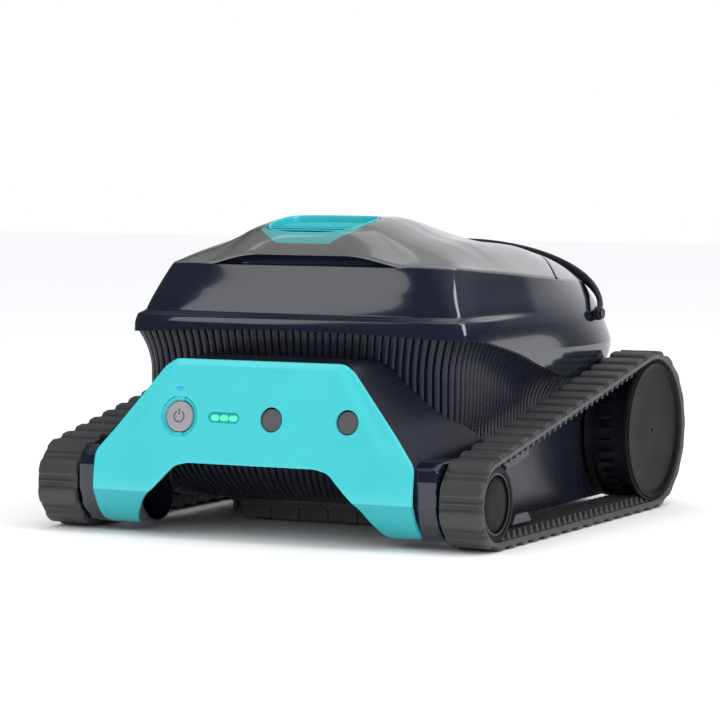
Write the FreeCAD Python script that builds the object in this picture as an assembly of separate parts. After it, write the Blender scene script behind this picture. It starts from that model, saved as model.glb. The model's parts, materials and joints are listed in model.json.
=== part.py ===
"""Tracked robotic pool cleaner: one STEP per physical piece, millimetres, +Z up.

Frame: X runs across the tracks, -Y is the teal front, the origin is under the middle of the
overall box on the floor that the belts stand on.
"""
import math
import os

import FreeCAD
import Part

V = FreeCAD.Vector
X_AXIS = V(1, 0, 0)
Z_AXIS = V(0, 0, 1)
SIDES = (("left", -1), ("right", 1))

# ---- driving dimensions ---------------------------------------------------------------------
WIDTH = 420.0
LENGTH = 451.0
BELT_WIDTH = 39.0
FRONT_BELT_R = 38.4
REAR_BELT_R = 71.0
WHEELBASE = 335.0
WALL = 3.0

# track
DRIVE_TEETH = 36
IDLER_TEETH = 18
LUGS = 43
LUG_OUT = 5.4
BAND_OUT = 2.0
BAND_IN = 1.7
TOOTH_IN = 8.4
DRUM_DROP = 8.9
RIM_DROP = 2.0

REAR_Y = LENGTH / 2 - REAR_BELT_R
FRONT_Y = REAR_Y - WHEELBASE
REAR_PITCH_R = REAR_BELT_R - LUG_OUT
FRONT_PITCH_R = FRONT_BELT_R - LUG_OUT
BELT_X1 = WIDTH / 2
BELT_X0 = BELT_X1 - BELT_WIDTH
TOOTH_X0 = BELT_X0 + 1.5
TOOTH_X1 = BELT_X1 - 7.5
PLATE_X0 = 155.0
PLATE_X1 = 161.0

# drive gears
RING_TEETH = 48
PINION_TEETH = 12
GEAR_MODULE = 2.0
RING_R = GEAR_MODULE * RING_TEETH / 2
PINION_R = GEAR_MODULE * PINION_TEETH / 2
PINION_Y = REAR_Y - (RING_R - PINION_R)

# front panel plane: y = PANEL_Y0 + PANEL_LEAN * z
PANEL_LEAN = 0.1634
PANEL_CREASE_Z = 38.0
PANEL_Y0 = -LENGTH / 2 - PANEL_LEAN * PANEL_CREASE_Z
PANEL_T = 3.2
PANEL_TOP_Z = 149.4

# body skin: height, half width, front, rear, front corner power, rear corner power
SKIN = (
    (112.0, 168.0, -158.0, 212.0, 9.0, 6.0),
    (150.0, 166.5, -157.0, 216.0, 9.0, 6.0),
    (172.0, 165.5, -155.0, 215.0, 9.0, 5.5),
    (181.0, 162.0, -150.0, 214.0, 9.0, 5.2),
    (184.0, 158.0, -146.0, 214.0, 9.0, 5.2),
    (203.0, 151.0, -136.0, 209.0, 8.0, 4.6),
    (222.0, 145.0, -126.0, 194.0, 7.0, 3.3),
    (232.0, 136.0, -122.0, 174.0, 5.5, 2.2),
    (243.0, 114.0, -111.0, 120.0, 4.2, 1.8),
    (253.0, 88.0, -88.0, 66.0, 3.0, 1.7),
    (260.0, 58.0, -73.0, 40.0, 2.6, 1.8),
    (264.5, 36.0, -60.0, 24.0, 2.3, 2.0),
    (266.3, 15.0, -44.0, 10.0, 2.2, 2.0),
)
WIDEST_Y = -20.0
TAPER = 0.11

# seams of the body skin
SEAM_Z0 = 214.5
SEAM_SLOPE = -0.0844
LID_APEX_Y = 192.0
LID_SEAM_GAP = 3.0
SEAM_NOSE = 60.0
SEAM_SWEEP = 1.2
HINGE_Y = 186.0
HINGE_Z = 218.2
LID_OPENING = 52.0

# pump column
PUMP_Y = -80.0
MOTOR_R = 30.0
SHAFT_R = 4.0
DUCT_R = 36.0
PROP_R = 33.5

# carry handle
BAIL_Y = 128.0
BAIL_Z = 176.0
BAIL_HALF = 163.5
BAIL_END_Y = 204.0
BAIL_END_Z = 232.0

# rubber flaps
FLAP_COUNT = 6
FLAP_PITCH = 28.4
FLAP_WIDTH = 26.8
FLAP_Y = -80.0
FLAP_Z = 13.5


# ---- small helpers --------------------------------------------------------------------------
def box(x0, x1, y0, y1, z0, z1):
    """Block between two corners."""
    return Part.makeBox(x1 - x0, y1 - y0, z1 - z0, V(x0, y0, z0))


def rod(radius, start, end):
    """Cylinder from one point to another."""
    axis = V(*end) - V(*start)
    return Part.makeCylinder(radius, axis.Length, V(*start), axis)


def tube(outer, inner, start, end):
    """Hollow cylinder from one point to another."""
    return rod(outer, start, end).cut(rod(inner, start, end))


def prism_x(points, x0, x1):
    """Closed outline of (y, z) points pushed along X."""
    wire = Part.makePolygon([V(x0, y, z) for y, z in points] + [V(x0, *points[0])])
    return Part.Face(wire).extrude(V(x1 - x0, 0, 0))


def prism_y(points, y0, y1):
    """Closed outline of (x, z) points pushed along Y."""
    ring = [V(x, y0, z) for x, z in points]
    return Part.Face(Part.makePolygon(ring + ring[:1])).extrude(V(0, y1 - y0, 0))


def prism_z(points, z0, z1):
    """Closed outline of (x, y) points pushed along Z."""
    ring = [V(x, y, z0) for x, y in points]
    return Part.Face(Part.makePolygon(ring + ring[:1])).extrude(V(0, 0, z1 - z0))


def fuse(shapes):
    """One solid from touching shapes."""
    return shapes[0].multiFuse(shapes[1:]).removeSplitter()


def group(shapes):
    """Separate solids that share one node."""
    return Part.makeCompound(shapes)


def main_solid(shape):
    """The largest solid of a trimmed shape."""
    return max(shape.Solids, key=lambda solid: solid.Volume)


def side_span(side, near, far):
    """X range of a piece that lies between two distances from the middle plane."""
    return (near, far) if side > 0 else (-far, -near)


def mirrored(shape, side):
    """A piece drawn on the +X side, moved to the side wanted."""
    return shape if side > 0 else shape.mirror(V(0, 0, 0), X_AXIS)


# ---- track geometry -------------------------------------------------------------------------
CENTRES = math.hypot(WHEELBASE, REAR_BELT_R - FRONT_BELT_R)
SLOPE = math.asin((REAR_PITCH_R - FRONT_PITCH_R) / CENTRES)
STRAIGHT = CENTRES * math.cos(SLOPE)
REAR_ARC = REAR_PITCH_R * (math.pi + 2 * SLOPE)
FRONT_ARC = FRONT_PITCH_R * (math.pi - 2 * SLOPE)
LOOP = REAR_ARC + FRONT_ARC + 2 * STRAIGHT
BELT_TEETH = 2 * LUGS
TOOTH_PITCH = LOOP / BELT_TEETH
REAR_START = math.pi / 2 + SLOPE
AXLES_SLOPE = math.atan2(REAR_BELT_R - FRONT_BELT_R, WHEELBASE)


def loop_point(s, out):
    """Point of the belt path at length s, moved outwards from the pitch line."""
    s = s % LOOP
    tilt = AXLES_SLOPE
    if s < REAR_ARC:
        angle = REAR_START + tilt - s / REAR_PITCH_R
        radius = REAR_PITCH_R + out
        return (REAR_Y + radius * math.cos(angle), REAR_BELT_R + radius * math.sin(angle))
    s -= REAR_ARC
    if s < STRAIGHT:
        return straight_point(-REAR_START + tilt, s, out, REAR_Y, REAR_BELT_R, REAR_PITCH_R)
    s -= STRAIGHT
    if s < FRONT_ARC:
        angle = -REAR_START + tilt - s / FRONT_PITCH_R
        radius = FRONT_PITCH_R + out
        return (FRONT_Y + radius * math.cos(angle), FRONT_BELT_R + radius * math.sin(angle))
    s -= FRONT_ARC
    return straight_point(REAR_START + tilt, s, out, FRONT_Y, FRONT_BELT_R, FRONT_PITCH_R)


def straight_point(angle, s, out, y, z, radius):
    """Point on a straight run that leaves a wheel at the given angle, clockwise."""
    normal = (math.cos(angle), math.sin(angle))
    forward = (math.sin(angle), -math.cos(angle))
    reach = radius + out
    return (y + reach * normal[0] + s * forward[0], z + reach * normal[1] + s * forward[1])


def track_belt():
    """Rubber belt on the +X side: band, outer lugs with a rib between them, inner teeth."""
    lug_pitch = 2 * TOOTH_PITCH
    outer = []
    for i in range(LUGS):
        at = i * lug_pitch
        profile = ((-6.6, LUG_OUT), (0, LUG_OUT), (6.6, LUG_OUT), (7.6, BAND_OUT),
                   (9.6, BAND_OUT), (10.2, LUG_OUT - 1.6), (12.6, LUG_OUT - 1.6), (13.2, BAND_OUT),
                   (15.2, BAND_OUT))
        outer += [loop_point(at + s, out) for s, out in profile]
    inner = []
    for i in range(BELT_TEETH):
        at = i * TOOTH_PITCH
        profile = ((-2.6, -BAND_IN), (-1.6, -TOOTH_IN), (1.6, -TOOTH_IN), (2.6, -BAND_IN),
                   (TOOTH_PITCH / 2, -BAND_IN))
        inner += [loop_point(at + s, out) for s, out in profile]
    steps = 4 * BELT_TEETH
    smooth = [loop_point(i * LOOP / steps, -BAND_IN) for i in range(steps)]
    band = prism_x(outer, BELT_X0, BELT_X1).cut(prism_x(smooth, BELT_X0 - 1, BELT_X1 + 1))
    teeth = prism_x(smooth, TOOTH_X0, TOOTH_X1).cut(prism_x(inner, TOOTH_X0, TOOTH_X1))
    return fuse([band, teeth])


def wheel_phase(arc_start, s_start, radius, arc):
    """Angle of the wheel tooth that fills the belt gap nearest the middle of the wrap."""
    middle = s_start + arc / 2
    gap_s = (round(middle / TOOTH_PITCH - 0.5) + 0.5) * TOOTH_PITCH
    return arc_start - (gap_s - s_start) / radius


def tooth_ring(x0, x1, y, z, count, phase, root, root_width, tip, tip_width):
    """Straight-sided teeth round an axle, from root radius to tip radius."""
    shapes = []
    for i in range(count):
        turn = phase + 2 * math.pi * i / count
        radial = (math.cos(turn), math.sin(turn))
        across = (-radial[1], radial[0])
        corners = ((root, -root_width), (tip, -tip_width), (tip, tip_width), (root, root_width))
        outline = [(y + r * radial[0] + w / 2 * across[0], z + r * radial[1] + w / 2 * across[1])
                   for r, w in corners]
        shapes.append(prism_x(outline, x0, x1))
    return shapes


def drive_wheel():
    """Rear wheel: drum, belt teeth, hub, web and an internal ring gear."""
    pitch = REAR_PITCH_R
    drum = pitch - DRUM_DROP
    y, z = REAR_Y, REAR_BELT_R
    ring_tip = RING_R - GEAR_MODULE
    ring_root = RING_R + 1.25 * GEAR_MODULE
    body = tube(drum, ring_root, (TOOTH_X0, y, z), (TOOTH_X1, y, z))
    inner_lip = tube(drum + 4.0, ring_root, (165.0, y, z), (170.5, y, z))
    joint = tube(drum, ring_root, (165.0, y, z), (TOOTH_X0, y, z))
    web = tube(ring_root + 1.0, 12.0, (194.0, y, z), (198.0, y, z))
    hub = tube(14.0, 8.0, (172.0, y, z), (TOOTH_X1, y, z))
    phase = wheel_phase(REAR_START + AXLES_SLOPE, 0.0, pitch, REAR_ARC)
    belt_teeth = tooth_ring(178.0, 190.0, y, z, DRIVE_TEETH, phase, drum - 1, 4.6, pitch - 4.4, 2.6)
    gear = tooth_ring(167.0, 179.0, y, z, RING_TEETH, math.pi, ring_root + 1, 4.4, ring_tip, 1.5)
    return fuse([body, inner_lip, joint, web, hub] + belt_teeth + gear)


def drive_pinion():
    """Twelve-tooth motor pinion with its shaft, meshing inside the ring gear."""
    y, z = PINION_Y, REAR_BELT_R
    root = PINION_R - 1.25 * GEAR_MODULE
    disc = rod(root, (166.5, y, z), (179.5, y, z))
    half_pitch = math.pi / PINION_TEETH
    teeth = tooth_ring(166.5, 179.5, y, z, PINION_TEETH, math.pi + half_pitch, root - 1, 4.0,
                       PINION_R + 0.8 * GEAR_MODULE, 1.4)
    shaft = rod(3.0, (158.0, y, z), (181.0, y, z))
    return fuse([disc, shaft] + teeth)


def wheel_disc():
    """Outer dish of the rear wheel: flat face, raised ring, thin rim and a centre hole."""
    y, z = REAR_Y, REAR_BELT_R
    rim = REAR_PITCH_R - RIM_DROP
    plate = rod(rim, (TOOTH_X1 + 0.2, y, z), (206.0, y, z))
    ring = tube(60.0, 57.0, (206.0, y, z), (207.2, y, z))
    return fuse([plate, ring]).cut(rod(1.6, (200.0, y, z), (208.0, y, z)))


def idler_wheel():
    """Front wheel: toothed drum with an outer rim."""
    y, z = FRONT_Y, FRONT_BELT_R
    drum = FRONT_PITCH_R - DRUM_DROP
    body = tube(drum, 10.0, (TOOTH_X0, y, z), (206.0, y, z))
    rim = tube(FRONT_PITCH_R - RIM_DROP, 10.0, (TOOTH_X1 + 0.2, y, z), (206.0, y, z))
    phase = wheel_phase(-REAR_START + AXLES_SLOPE, REAR_ARC + STRAIGHT, FRONT_PITCH_R, FRONT_ARC)
    teeth = tooth_ring(178.0, 190.0, y, z, IDLER_TEETH, phase, drum - 1, 3.4,
                       FRONT_PITCH_R - 4.4, 2.2)
    return fuse([body, rim] + teeth).cut(rod(24.0, (203.6, y, z), (207.0, y, z)))


def idler_cap():
    """Round cap pressed into the recess of the front wheel."""
    y, z = FRONT_Y, FRONT_BELT_R
    return rod(23.0, (203.8, y, z), (205.4, y, z))


# ---- chassis --------------------------------------------------------------------------------
def chassis_frame():
    """Floor plate with two side plates that carry the axles."""
    floor = box(-PLATE_X1, PLATE_X1, -60.0, 205.0, 16.0, 20.0)
    outline = ((-148.0, 12.0), (205.0, 12.0), (212.0, 40.0), (206.0, 104.0), (150.0, 112.0),
               (-110.0, 62.0), (-148.0, 50.0))
    plates = [prism_x(outline, *side_span(side, PLATE_X0, PLATE_X1)) for _, side in SIDES]
    frame = fuse([floor] + plates)
    frame = frame.cut(box(-63.0, 63.0, 55.0, 91.0, 10.0, 25.0))
    for _, side in SIDES:
        x0, x1 = side * (PLATE_X0 - 1), side * (PLATE_X1 + 1)
        frame = frame.cut(rod(10.3, (x0, PINION_Y, REAR_BELT_R), (x1, PINION_Y, REAR_BELT_R)))
        frame = frame.cut(rod(5.0, (x0, REAR_Y, REAR_BELT_R), (x1, REAR_Y, REAR_BELT_R)))
    return frame.cut(group(screw_holes(2.05)))


SCREW_XY = tuple((sx * 125.0, y) for sx in (-1, 1) for y in (-45.0, 75.0, 190.0))


def screw_holes(radius):
    """Holes for the screws that hold the tub to the floor plate."""
    return [rod(radius, (x, y, 15.0), (x, y, 24.5)) for x, y in SCREW_XY]


def casing_screws():
    """Six pan-head screws under the floor plate."""
    heads = [rod(4.0, (x, y, 13.8), (x, y, 16.0)) for x, y in SCREW_XY]
    shanks = [rod(2.0, (x, y, 16.0), (x, y, 23.4)) for x, y in SCREW_XY]
    return group([fuse([head, shank]) for head, shank in zip(heads, shanks)])


def pod():
    """Smooth housing between the front panel and the belt on the +X side."""
    nose = rod(36.0, (112.0, FRONT_Y, FRONT_BELT_R), (168.5, FRONT_Y, FRONT_BELT_R))
    nose = nose.cut(box(100.0, 180.0, -156.0, -100.0, 0.0, 90.0))
    tail = box(112.0, 168.5, FRONT_Y, -156.0, 3.0, FRONT_BELT_R + 36.0)
    flange = prism_x(((-156.0, 12.0), (-118.0, 12.0), (-118.0, 60.0), (-156.0, 74.0)), 161.5, 168.5)
    shape = fuse([nose, tail, flange])
    return shape.cut(rod(6.0, (140.0, FRONT_Y, FRONT_BELT_R), (170.0, FRONT_Y, FRONT_BELT_R)))


def belt_guide():
    """Bracket behind the front wheel with two arms that keep the belt runs in line."""
    top = [loop_point(LOOP - STRAIGHT + s, -TOOTH_IN - 1.6) for s in (38.0, 84.0)]
    low = [loop_point(LOOP - STRAIGHT + s, -TOOTH_IN - 7.6) for s in (84.0, 38.0)]
    upper_arm = prism_x(top + low, 169.0, 199.0)
    lower_arm = prism_x(((-134.0, 16.0), (-96.0, 16.0), (-104.0, 24.0), (-128.0, 24.0)), 168.5, 199.0)
    web = prism_x(((-134.0, 16.0), (-96.0, 16.0), (-104.0, 72.0), (-130.0, 67.0)), 169.0, 173.0)
    foot = prism_x(((-117.5, 22.0), (-98.0, 22.0), (-104.0, 60.0), (-117.5, 58.0)), 161.0, 173.0)
    return fuse([upper_arm, lower_arm, web, foot])


def axle(y, z, radius, x0, x1):
    """Fixed stub axle with a thin retaining head."""
    return fuse([rod(radius, (x0, y, z), (x1, y, z)), rod(radius + 1.6, (x1 - 1.0, y, z), (x1, y, z))])


def bush(y, z, outer, inner, x0, x1):
    """Plain bearing sleeve."""
    return tube(outer, inner, (x0, y, z), (x1, y, z))


def drive_motor():
    """Sealed gear motor with the boss that its shaft comes out of."""
    y, z = PINION_Y, REAR_BELT_R
    can = rod(17.0, (109.0, y, z), (152.5, y, z))
    boss = rod(10.0, (152.5, y, z), (163.0, y, z))
    return fuse([can, boss]).cut(rod(3.05, (157.5, y, z), (164.0, y, z)))


# ---- body shells ----------------------------------------------------------------------------
def skin_ring(z, half, front, rear, front_power, rear_power, taper=TAPER):
    """Rounded outline of the body at one height."""
    points = []
    count = 48
    for i in range(count):
        turn = 2 * math.pi * i / count
        c, s = math.cos(turn), math.sin(turn)
        power = 2 / (front_power if s < 0 else rear_power)
        reach = WIDEST_Y - front if s < 0 else rear - WIDEST_Y
        x = half * math.copysign(abs(c) ** power, c)
        y = WIDEST_Y + reach * math.copysign(abs(s) ** power, s)
        back = min(max((y - WIDEST_Y) / 220.0, 0.0), 1.0)
        height = min(max((z - 150.0) / 60.0, 0.0), 1.0)
        points.append(V(x * (1 - taper * height * back ** 2), y, z))
    return Part.makePolygon(points + points[:1])


def skin_solid(inset):
    """Solid body form, or the same form drawn in by a wall thickness."""
    rings = []
    for z, half, front, rear, front_power, rear_power in SKIN:
        lift = inset if z > 215.0 else 0.0
        rings.append(skin_ring(z - lift, half - inset, front + inset, rear - inset,
                               front_power, rear_power))
    return Part.makeLoft(rings, True, True)


def rim_cut():
    """Block under the curved lower rim of the upper shell."""
    rim = ((-200.0, 170.0), (-128.0, 166.0), (-90.0, 158.0), (-48.0, 150.0), (0.0, 136.0),
           (56.0, 124.0), (100.0, 124.0), (140.0, 132.0), (175.0, 146.0), (240.0, 150.0))
    return prism_x(((-200.0, 80.0),) + rim + ((240.0, 80.0),), -200.0, 200.0)


def seam_z(y):
    """Height of the line between the upper shell and the top pieces."""
    return SEAM_Z0 + SEAM_SLOPE * y


def above_seam(gap):
    """Everything above the seam line, with the front edge arched up in the middle."""
    y0, y1 = -200.0, 260.0
    block = prism_x(((y0, seam_z(y0) + gap), (y1, seam_z(y1) + gap), (y1, 300.0), (y0, 300.0)),
                    -200.0, 200.0)
    arch = prism_y(((-96.0, 200.0), (-96.0, 224.0 + gap), (-60.0, 232.0 + gap),
                    (60.0, 232.0 + gap), (96.0, 224.0 + gap), (96.0, 200.0)), -180.0, -80.0)
    return block.cut(arch)


def rear_seam(offset):
    """Block behind the curved line between the lid and the rear cover."""
    half = 200.0
    points = []
    for i in range(25):
        x = -half + 2 * half * i / 24
        sweep = math.hypot(SEAM_NOSE, SEAM_SWEEP * x)
        points.append((x, LID_APEX_Y + SEAM_NOSE + offset - sweep))
    return prism_z(points + [(half, 300.0), (-half, 300.0)], 150.0, 300.0)


def lid_window(grow):
    """Rounded opening in the lid for the outlet grille."""
    points = []
    for i in range(36):
        turn = 2 * math.pi * i / 36
        c, s = math.cos(turn), math.sin(turn)
        x = (50.0 + grow) * math.copysign(abs(c) ** 0.8, c)
        y = PUMP_Y + (32.0 + grow) * math.copysign(abs(s) ** 0.8, s)
        points.append((x, y))
    return prism_z(points, 222.0, 300.0)


def make_shells():
    """Upper shell, rear cover, lid, gasket, nozzle and grille, all cut from the body skin."""
    outer = skin_solid(0.0)
    inner = skin_solid(WALL)
    skin = outer.cut(inner).cut(rim_cut())
    top = skin.common(above_seam(1.0))
    behind_wide = rear_seam(LID_SEAM_GAP)
    behind = rear_seam(0.0)
    lid = main_solid(top.cut(behind).cut(lid_window(0.4)))
    rear_cover = main_solid(top.common(behind_wide))
    shell = main_solid(skin.cut(above_seam(0.0)))
    ledge = inner.common(box(-180.0, 180.0, -170.0, 230.0, 168.0, 171.0))
    ledge = ledge.cut(Part.makeLoft([skin_ring(z, 150.0, -142.0, 198.0, 9.0, 6.0)
                                     for z in (160.0, 175.0)], True, True))
    shell = fuse([shell, ledge.common(outer)])
    nozzle = lid_window(-0.4).cut(lid_window(-2.6)).common(skin_solid(WALL + 0.2))
    nozzle = main_solid(nozzle.common(box(-80.0, 80.0, -140.0, -30.0, 228.0, 300.0)))
    plug = lid_window(0.0).common(skin_solid(0.3)).cut(skin_solid(WALL))
    slots = [box(-38.0, 38.0, PUMP_Y - 26.0 + 7.0 * i, PUMP_Y - 22.0 + 7.0 * i, 220.0, 290.0)
             for i in range(8)]
    grille = main_solid(plug.cut(group(slots)))
    return shell, rear_cover, lid, nozzle, grille


def tub():
    """Open tub that carries the ribbed wall, with a flange that the upper shell sits on."""
    outer_rings = ((20.5, 146.0, -108.0, 190.0), (30.0, 149.0, -130.0, 196.0),
                   (45.0, 150.0, -145.0, 200.0), (60.0, 151.0, -150.0, 202.0),
                   (150.0, 151.0, -150.0, 203.0), (165.0, 158.0, -151.0, 206.0),
                   (168.0, 160.0, -151.0, 207.0))
    outer = Part.makeLoft([skin_ring(z, w, f, r, 9.0, 6.0) for z, w, f, r in outer_rings],
                          True, True)
    inner = Part.makeLoft([skin_ring(z + (WALL if z < 25.0 else 0.0), w - WALL, f + WALL, r - WALL,
                                     9.0, 6.0) for z, w, f, r in outer_rings[:-1]]
                          + [skin_ring(170.0, 157.0, -148.0, 204.0, 9.0, 6.0)], True, True)
    shape = outer.cut(inner)
    shape = shape.cut(box(-63.0, 63.0, 55.0, 91.0, 15.0, 30.0))
    for _, side in SIDES:
        shape = shape.cut(rod(17.2, (side * 140.0, PINION_Y, REAR_BELT_R),
                              (side * 156.0, PINION_Y, REAR_BELT_R)))
    return main_solid(shape.cut(group(screw_holes(2.0))))


def lid_gasket():
    """Soft strip inside the lower edge of the lid."""
    strip = skin_solid(WALL + 0.2).cut(skin_solid(WALL + 2.4)).common(above_seam(1.4))
    strip = strip.cut(above_seam(6.0)).cut(rear_seam(-1.0)).cut(lid_window(1.5))
    return main_solid(strip)


def hinge_knuckles():
    """Two barrels under the rear edge of the lid, with the webs that join them to it."""
    shapes = []
    for _, side in SIDES:
        x0, x1 = side_span(side, 8.0, 18.0)
        web = box(x0, x1, 174.0, HINGE_Y - 1.0, HINGE_Z - 1.0, 232.0).common(skin_solid(1.5))
        shapes += [rod(3.0, (x0, HINGE_Y, HINGE_Z), (x1, HINGE_Y, HINGE_Z)), web]
    return shapes


def lid_swing(lid):
    """Space that the rear edge of the lid passes through as it opens, with a little room."""
    edge = lid.common(box(-110.0, 110.0, 105.0, 200.0, 205.0, 245.0))
    shapes = []
    for i in range(10):
        for room_y, room_z in ((0.5, 0.0), (0.0, -0.4)):
            moved = edge.copy()
            moved.rotate(V(0, HINGE_Y, HINGE_Z), V(1, 0, 0), -LID_OPENING * (0.12 + 0.1 * i))
            moved.translate(V(0, room_y, room_z))
            shapes.append(moved)
    return shapes


def hinge_bracket():
    """Bracket under the rear cover with two ears that hold the lid's hinge pin."""
    base = box(-24.0, 24.0, 184.0, 204.0, 205.0, 208.0)
    ears = [box(*side_span(side, 19.0, 23.0), 182.0, 196.0, 206.0, 230.0) for _, side in SIDES]
    bracket = fuse([base] + ears).common(skin_solid(WALL + 0.3))
    return bracket.cut(rod(1.5, (-40.0, HINGE_Y, HINGE_Z), (40.0, HINGE_Y, HINGE_Z)))


def bail_point(turn):
    """Centre line of the carry handle, from one pivot (0) to the other (pi)."""
    c, s = math.cos(turn), math.sin(turn)
    power = 2 / 1.8
    rise = abs(s) ** power
    return V(BAIL_HALF * math.copysign(abs(c) ** power, c),
             BAIL_Y + (BAIL_END_Y - BAIL_Y) * rise, BAIL_Z + (BAIL_END_Z - BAIL_Z) * rise)


def carry_handle():
    """Bail that lies round the rear of the body and lifts about its two ends."""
    count = 32
    up = V(0, BAIL_END_Y - BAIL_Y, BAIL_END_Z - BAIL_Z)
    up = V(0, -up.z, up.y).normalize()
    rings = []
    for i in range(count + 1):
        share = i / count
        centre = bail_point(math.pi * share)
        ahead = bail_point(math.pi * min(share + 0.004, 1.0))
        behind = bail_point(math.pi * max(share - 0.004, 0.0))
        side = (ahead - behind).cross(up).normalize()
        swell = math.sin(math.pi * share)
        half_a, half_b = 2.6 + 1.6 * swell, 3.0 + 2.0 * swell
        ring = [centre + side * (half_a * math.cos(t)) + up * (half_b * math.sin(t))
                for t in (2 * math.pi * k / 12 for k in range(12))]
        rings.append(Part.makePolygon(ring + ring[:1]))
    shapes = [Part.makeLoft(rings, True, True)]
    for _, side in SIDES:
        x0, x1 = side * 161.0, side * 166.4
        shapes.append(rod(6.0, (x0, BAIL_Y, BAIL_Z), (x1, BAIL_Y, BAIL_Z)))
    shape = fuse(shapes)
    return shape.cut(rod(3.05, (-170.0, BAIL_Y, BAIL_Z), (170.0, BAIL_Y, BAIL_Z)))


def handle_pins():
    """Two shouldered pins that the carry handle turns on."""
    pins = []
    for _, side in SIDES:
        shank = rod(3.0, (side * 150.0, BAIL_Y, BAIL_Z), (side * 167.2, BAIL_Y, BAIL_Z))
        head = rod(4.6, (side * 166.8, BAIL_Y, BAIL_Z), (side * 168.4, BAIL_Y, BAIL_Z))
        pins.append(fuse([shank, head]))
    return group(pins)


# ---- pump, filter and electrics -------------------------------------------------------------
def pump_motor():
    """Upright sealed motor on a round foot."""
    can = rod(MOTOR_R, (0, PUMP_Y, 34.0), (0, PUMP_Y, 150.0))
    foot = rod(20.0, (0, PUMP_Y, 23.6), (0, PUMP_Y, 34.0))
    return fuse([can, foot]).cut(rod(SHAFT_R + 0.05, (0, PUMP_Y, 121.0), (0, PUMP_Y, 151.0)))


def propeller():
    """Hub with three pitched blades."""
    hub = rod(9.0, (0, PUMP_Y, 192.0), (0, PUMP_Y, 208.0))
    blades = []
    for i in range(3):
        blade = box(6.0, PROP_R, -8.0, 8.0, -1.4, 1.4)
        blade.rotate(V(0, 0, 0), X_AXIS, 35.0)
        blade.rotate(V(0, 0, 0), Z_AXIS, 120.0 * i)
        blade.translate(V(0, PUMP_Y, 200.0))
        blades.append(blade)
    shape = fuse([hub] + blades)
    return shape.cut(rod(SHAFT_R, (0, PUMP_Y, 190.0), (0, PUMP_Y, 210.0)))


def pump_duct():
    """Guide ring round the propeller, held to the motor by three legs and a collar."""
    ring = tube(DUCT_R + 3.0, DUCT_R, (0, PUMP_Y, 182.0), (0, PUMP_Y, 222.0))
    collar = tube(MOTOR_R + 4.0, MOTOR_R, (0, PUMP_Y, 128.0), (0, PUMP_Y, 138.0))
    legs = []
    for i in range(3):
        leg = box(MOTOR_R + 1.0, DUCT_R + 2.5, -3.0, 3.0, 130.0, 138.0)
        post = box(DUCT_R + 0.2, DUCT_R + 2.8, -3.0, 3.0, 130.0, 190.0)
        leg = leg.fuse(post)
        leg.rotate(V(0, 0, 0), Z_AXIS, 90.0 + 120.0 * i)
        leg.translate(V(0, PUMP_Y, 0))
        legs.append(leg)
    return fuse([ring, collar] + legs)


BASKET_X = 105.0
BASKET_Y0 = -34.0
BASKET_Y1 = 150.0
BASKET_Z0 = 66.5
BASKET_Z1 = 203.0
FLAP_AXIS_Y = 55.4
FLAP_AXIS_Z = 71.6


def filter_basket():
    """Basket frame: floor with an inlet slot, corner posts, top rim and flap lugs."""
    floor = box(-BASKET_X, BASKET_X, BASKET_Y0, BASKET_Y1, BASKET_Z0, BASKET_Z0 + 3.0)
    rim = box(-BASKET_X, BASKET_X, BASKET_Y0, BASKET_Y1, BASKET_Z1 - 6.0, BASKET_Z1)
    rim = rim.cut(box(-BASKET_X + 6.0, BASKET_X - 6.0, BASKET_Y0 + 6.0, BASKET_Y1 - 6.0, 190.0, 210.0))
    posts = []
    for x0 in (-BASKET_X, BASKET_X - 6.0):
        for y0 in (BASKET_Y0, BASKET_Y1 - 6.0):
            posts.append(box(x0, x0 + 6.0, y0, y0 + 6.0, BASKET_Z0, BASKET_Z1))
    lugs = [box(*side_span(side, 59.5, 63.0), 52.4, 58.0, 69.0, 75.0) for _, side in SIDES]
    frame = fuse([floor, rim] + posts + lugs)
    frame = frame.cut(box(-58.0, 58.0, 58.5, 88.0, 60.0, 75.0))
    return frame.cut(rod(1.25, (-70.0, FLAP_AXIS_Y, FLAP_AXIS_Z), (70.0, FLAP_AXIS_Y, FLAP_AXIS_Z)))


def filter_mesh():
    """Four fine mesh panels between the basket posts."""
    z0, z1 = BASKET_Z0 + 3.0, BASKET_Z1 - 6.0
    sides = [box(*side_span(side, BASKET_X - 1.6, BASKET_X - 0.6), BASKET_Y0 + 6.0, BASKET_Y1 - 6.0,
                 z0, z1) for _, side in SIDES]
    ends = [box(-BASKET_X + 6.0, BASKET_X - 6.0, y, y + 1.0, z0, z1)
            for y in (BASKET_Y0 + 0.6, BASKET_Y1 - 1.6)]
    return group(sides + ends)


def inlet_flap():
    """Non-return flap over the inlet slot, with a stub at each end of its barrel."""
    plate = box(-57.0, 57.0, FLAP_AXIS_Y, 90.0, 69.9, 71.4)
    barrel = rod(1.7, (-58.5, FLAP_AXIS_Y, FLAP_AXIS_Z), (58.5, FLAP_AXIS_Y, FLAP_AXIS_Z))
    stub = rod(1.2, (-63.0, FLAP_AXIS_Y, FLAP_AXIS_Z), (63.0, FLAP_AXIS_Y, FLAP_AXIS_Z))
    return fuse([plate, barrel, stub])


def inlet_duct():
    """Rectangular throat from the floor intake up to the basket."""
    throat = box(-62.5, 62.5, 55.5, 90.5, 16.0, 66.0)
    collar = box(-68.0, 68.0, 51.0, 95.0, 63.0, 66.2)
    shape = fuse([throat, collar])
    return shape.cut(box(-60.5, 60.5, 57.5, 88.5, 10.0, 70.0))


def battery_pack():
    """Five long cells on a tray."""
    tray = box(-92.0, 92.0, -33.0, 46.0, 24.0, 30.0)
    cells = [rod(16.0, (36.0 * i, -33.0, 41.0), (36.0 * i, 46.0, 41.0)) for i in range(-2, 3)]
    return fuse([tray] + cells)


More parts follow.
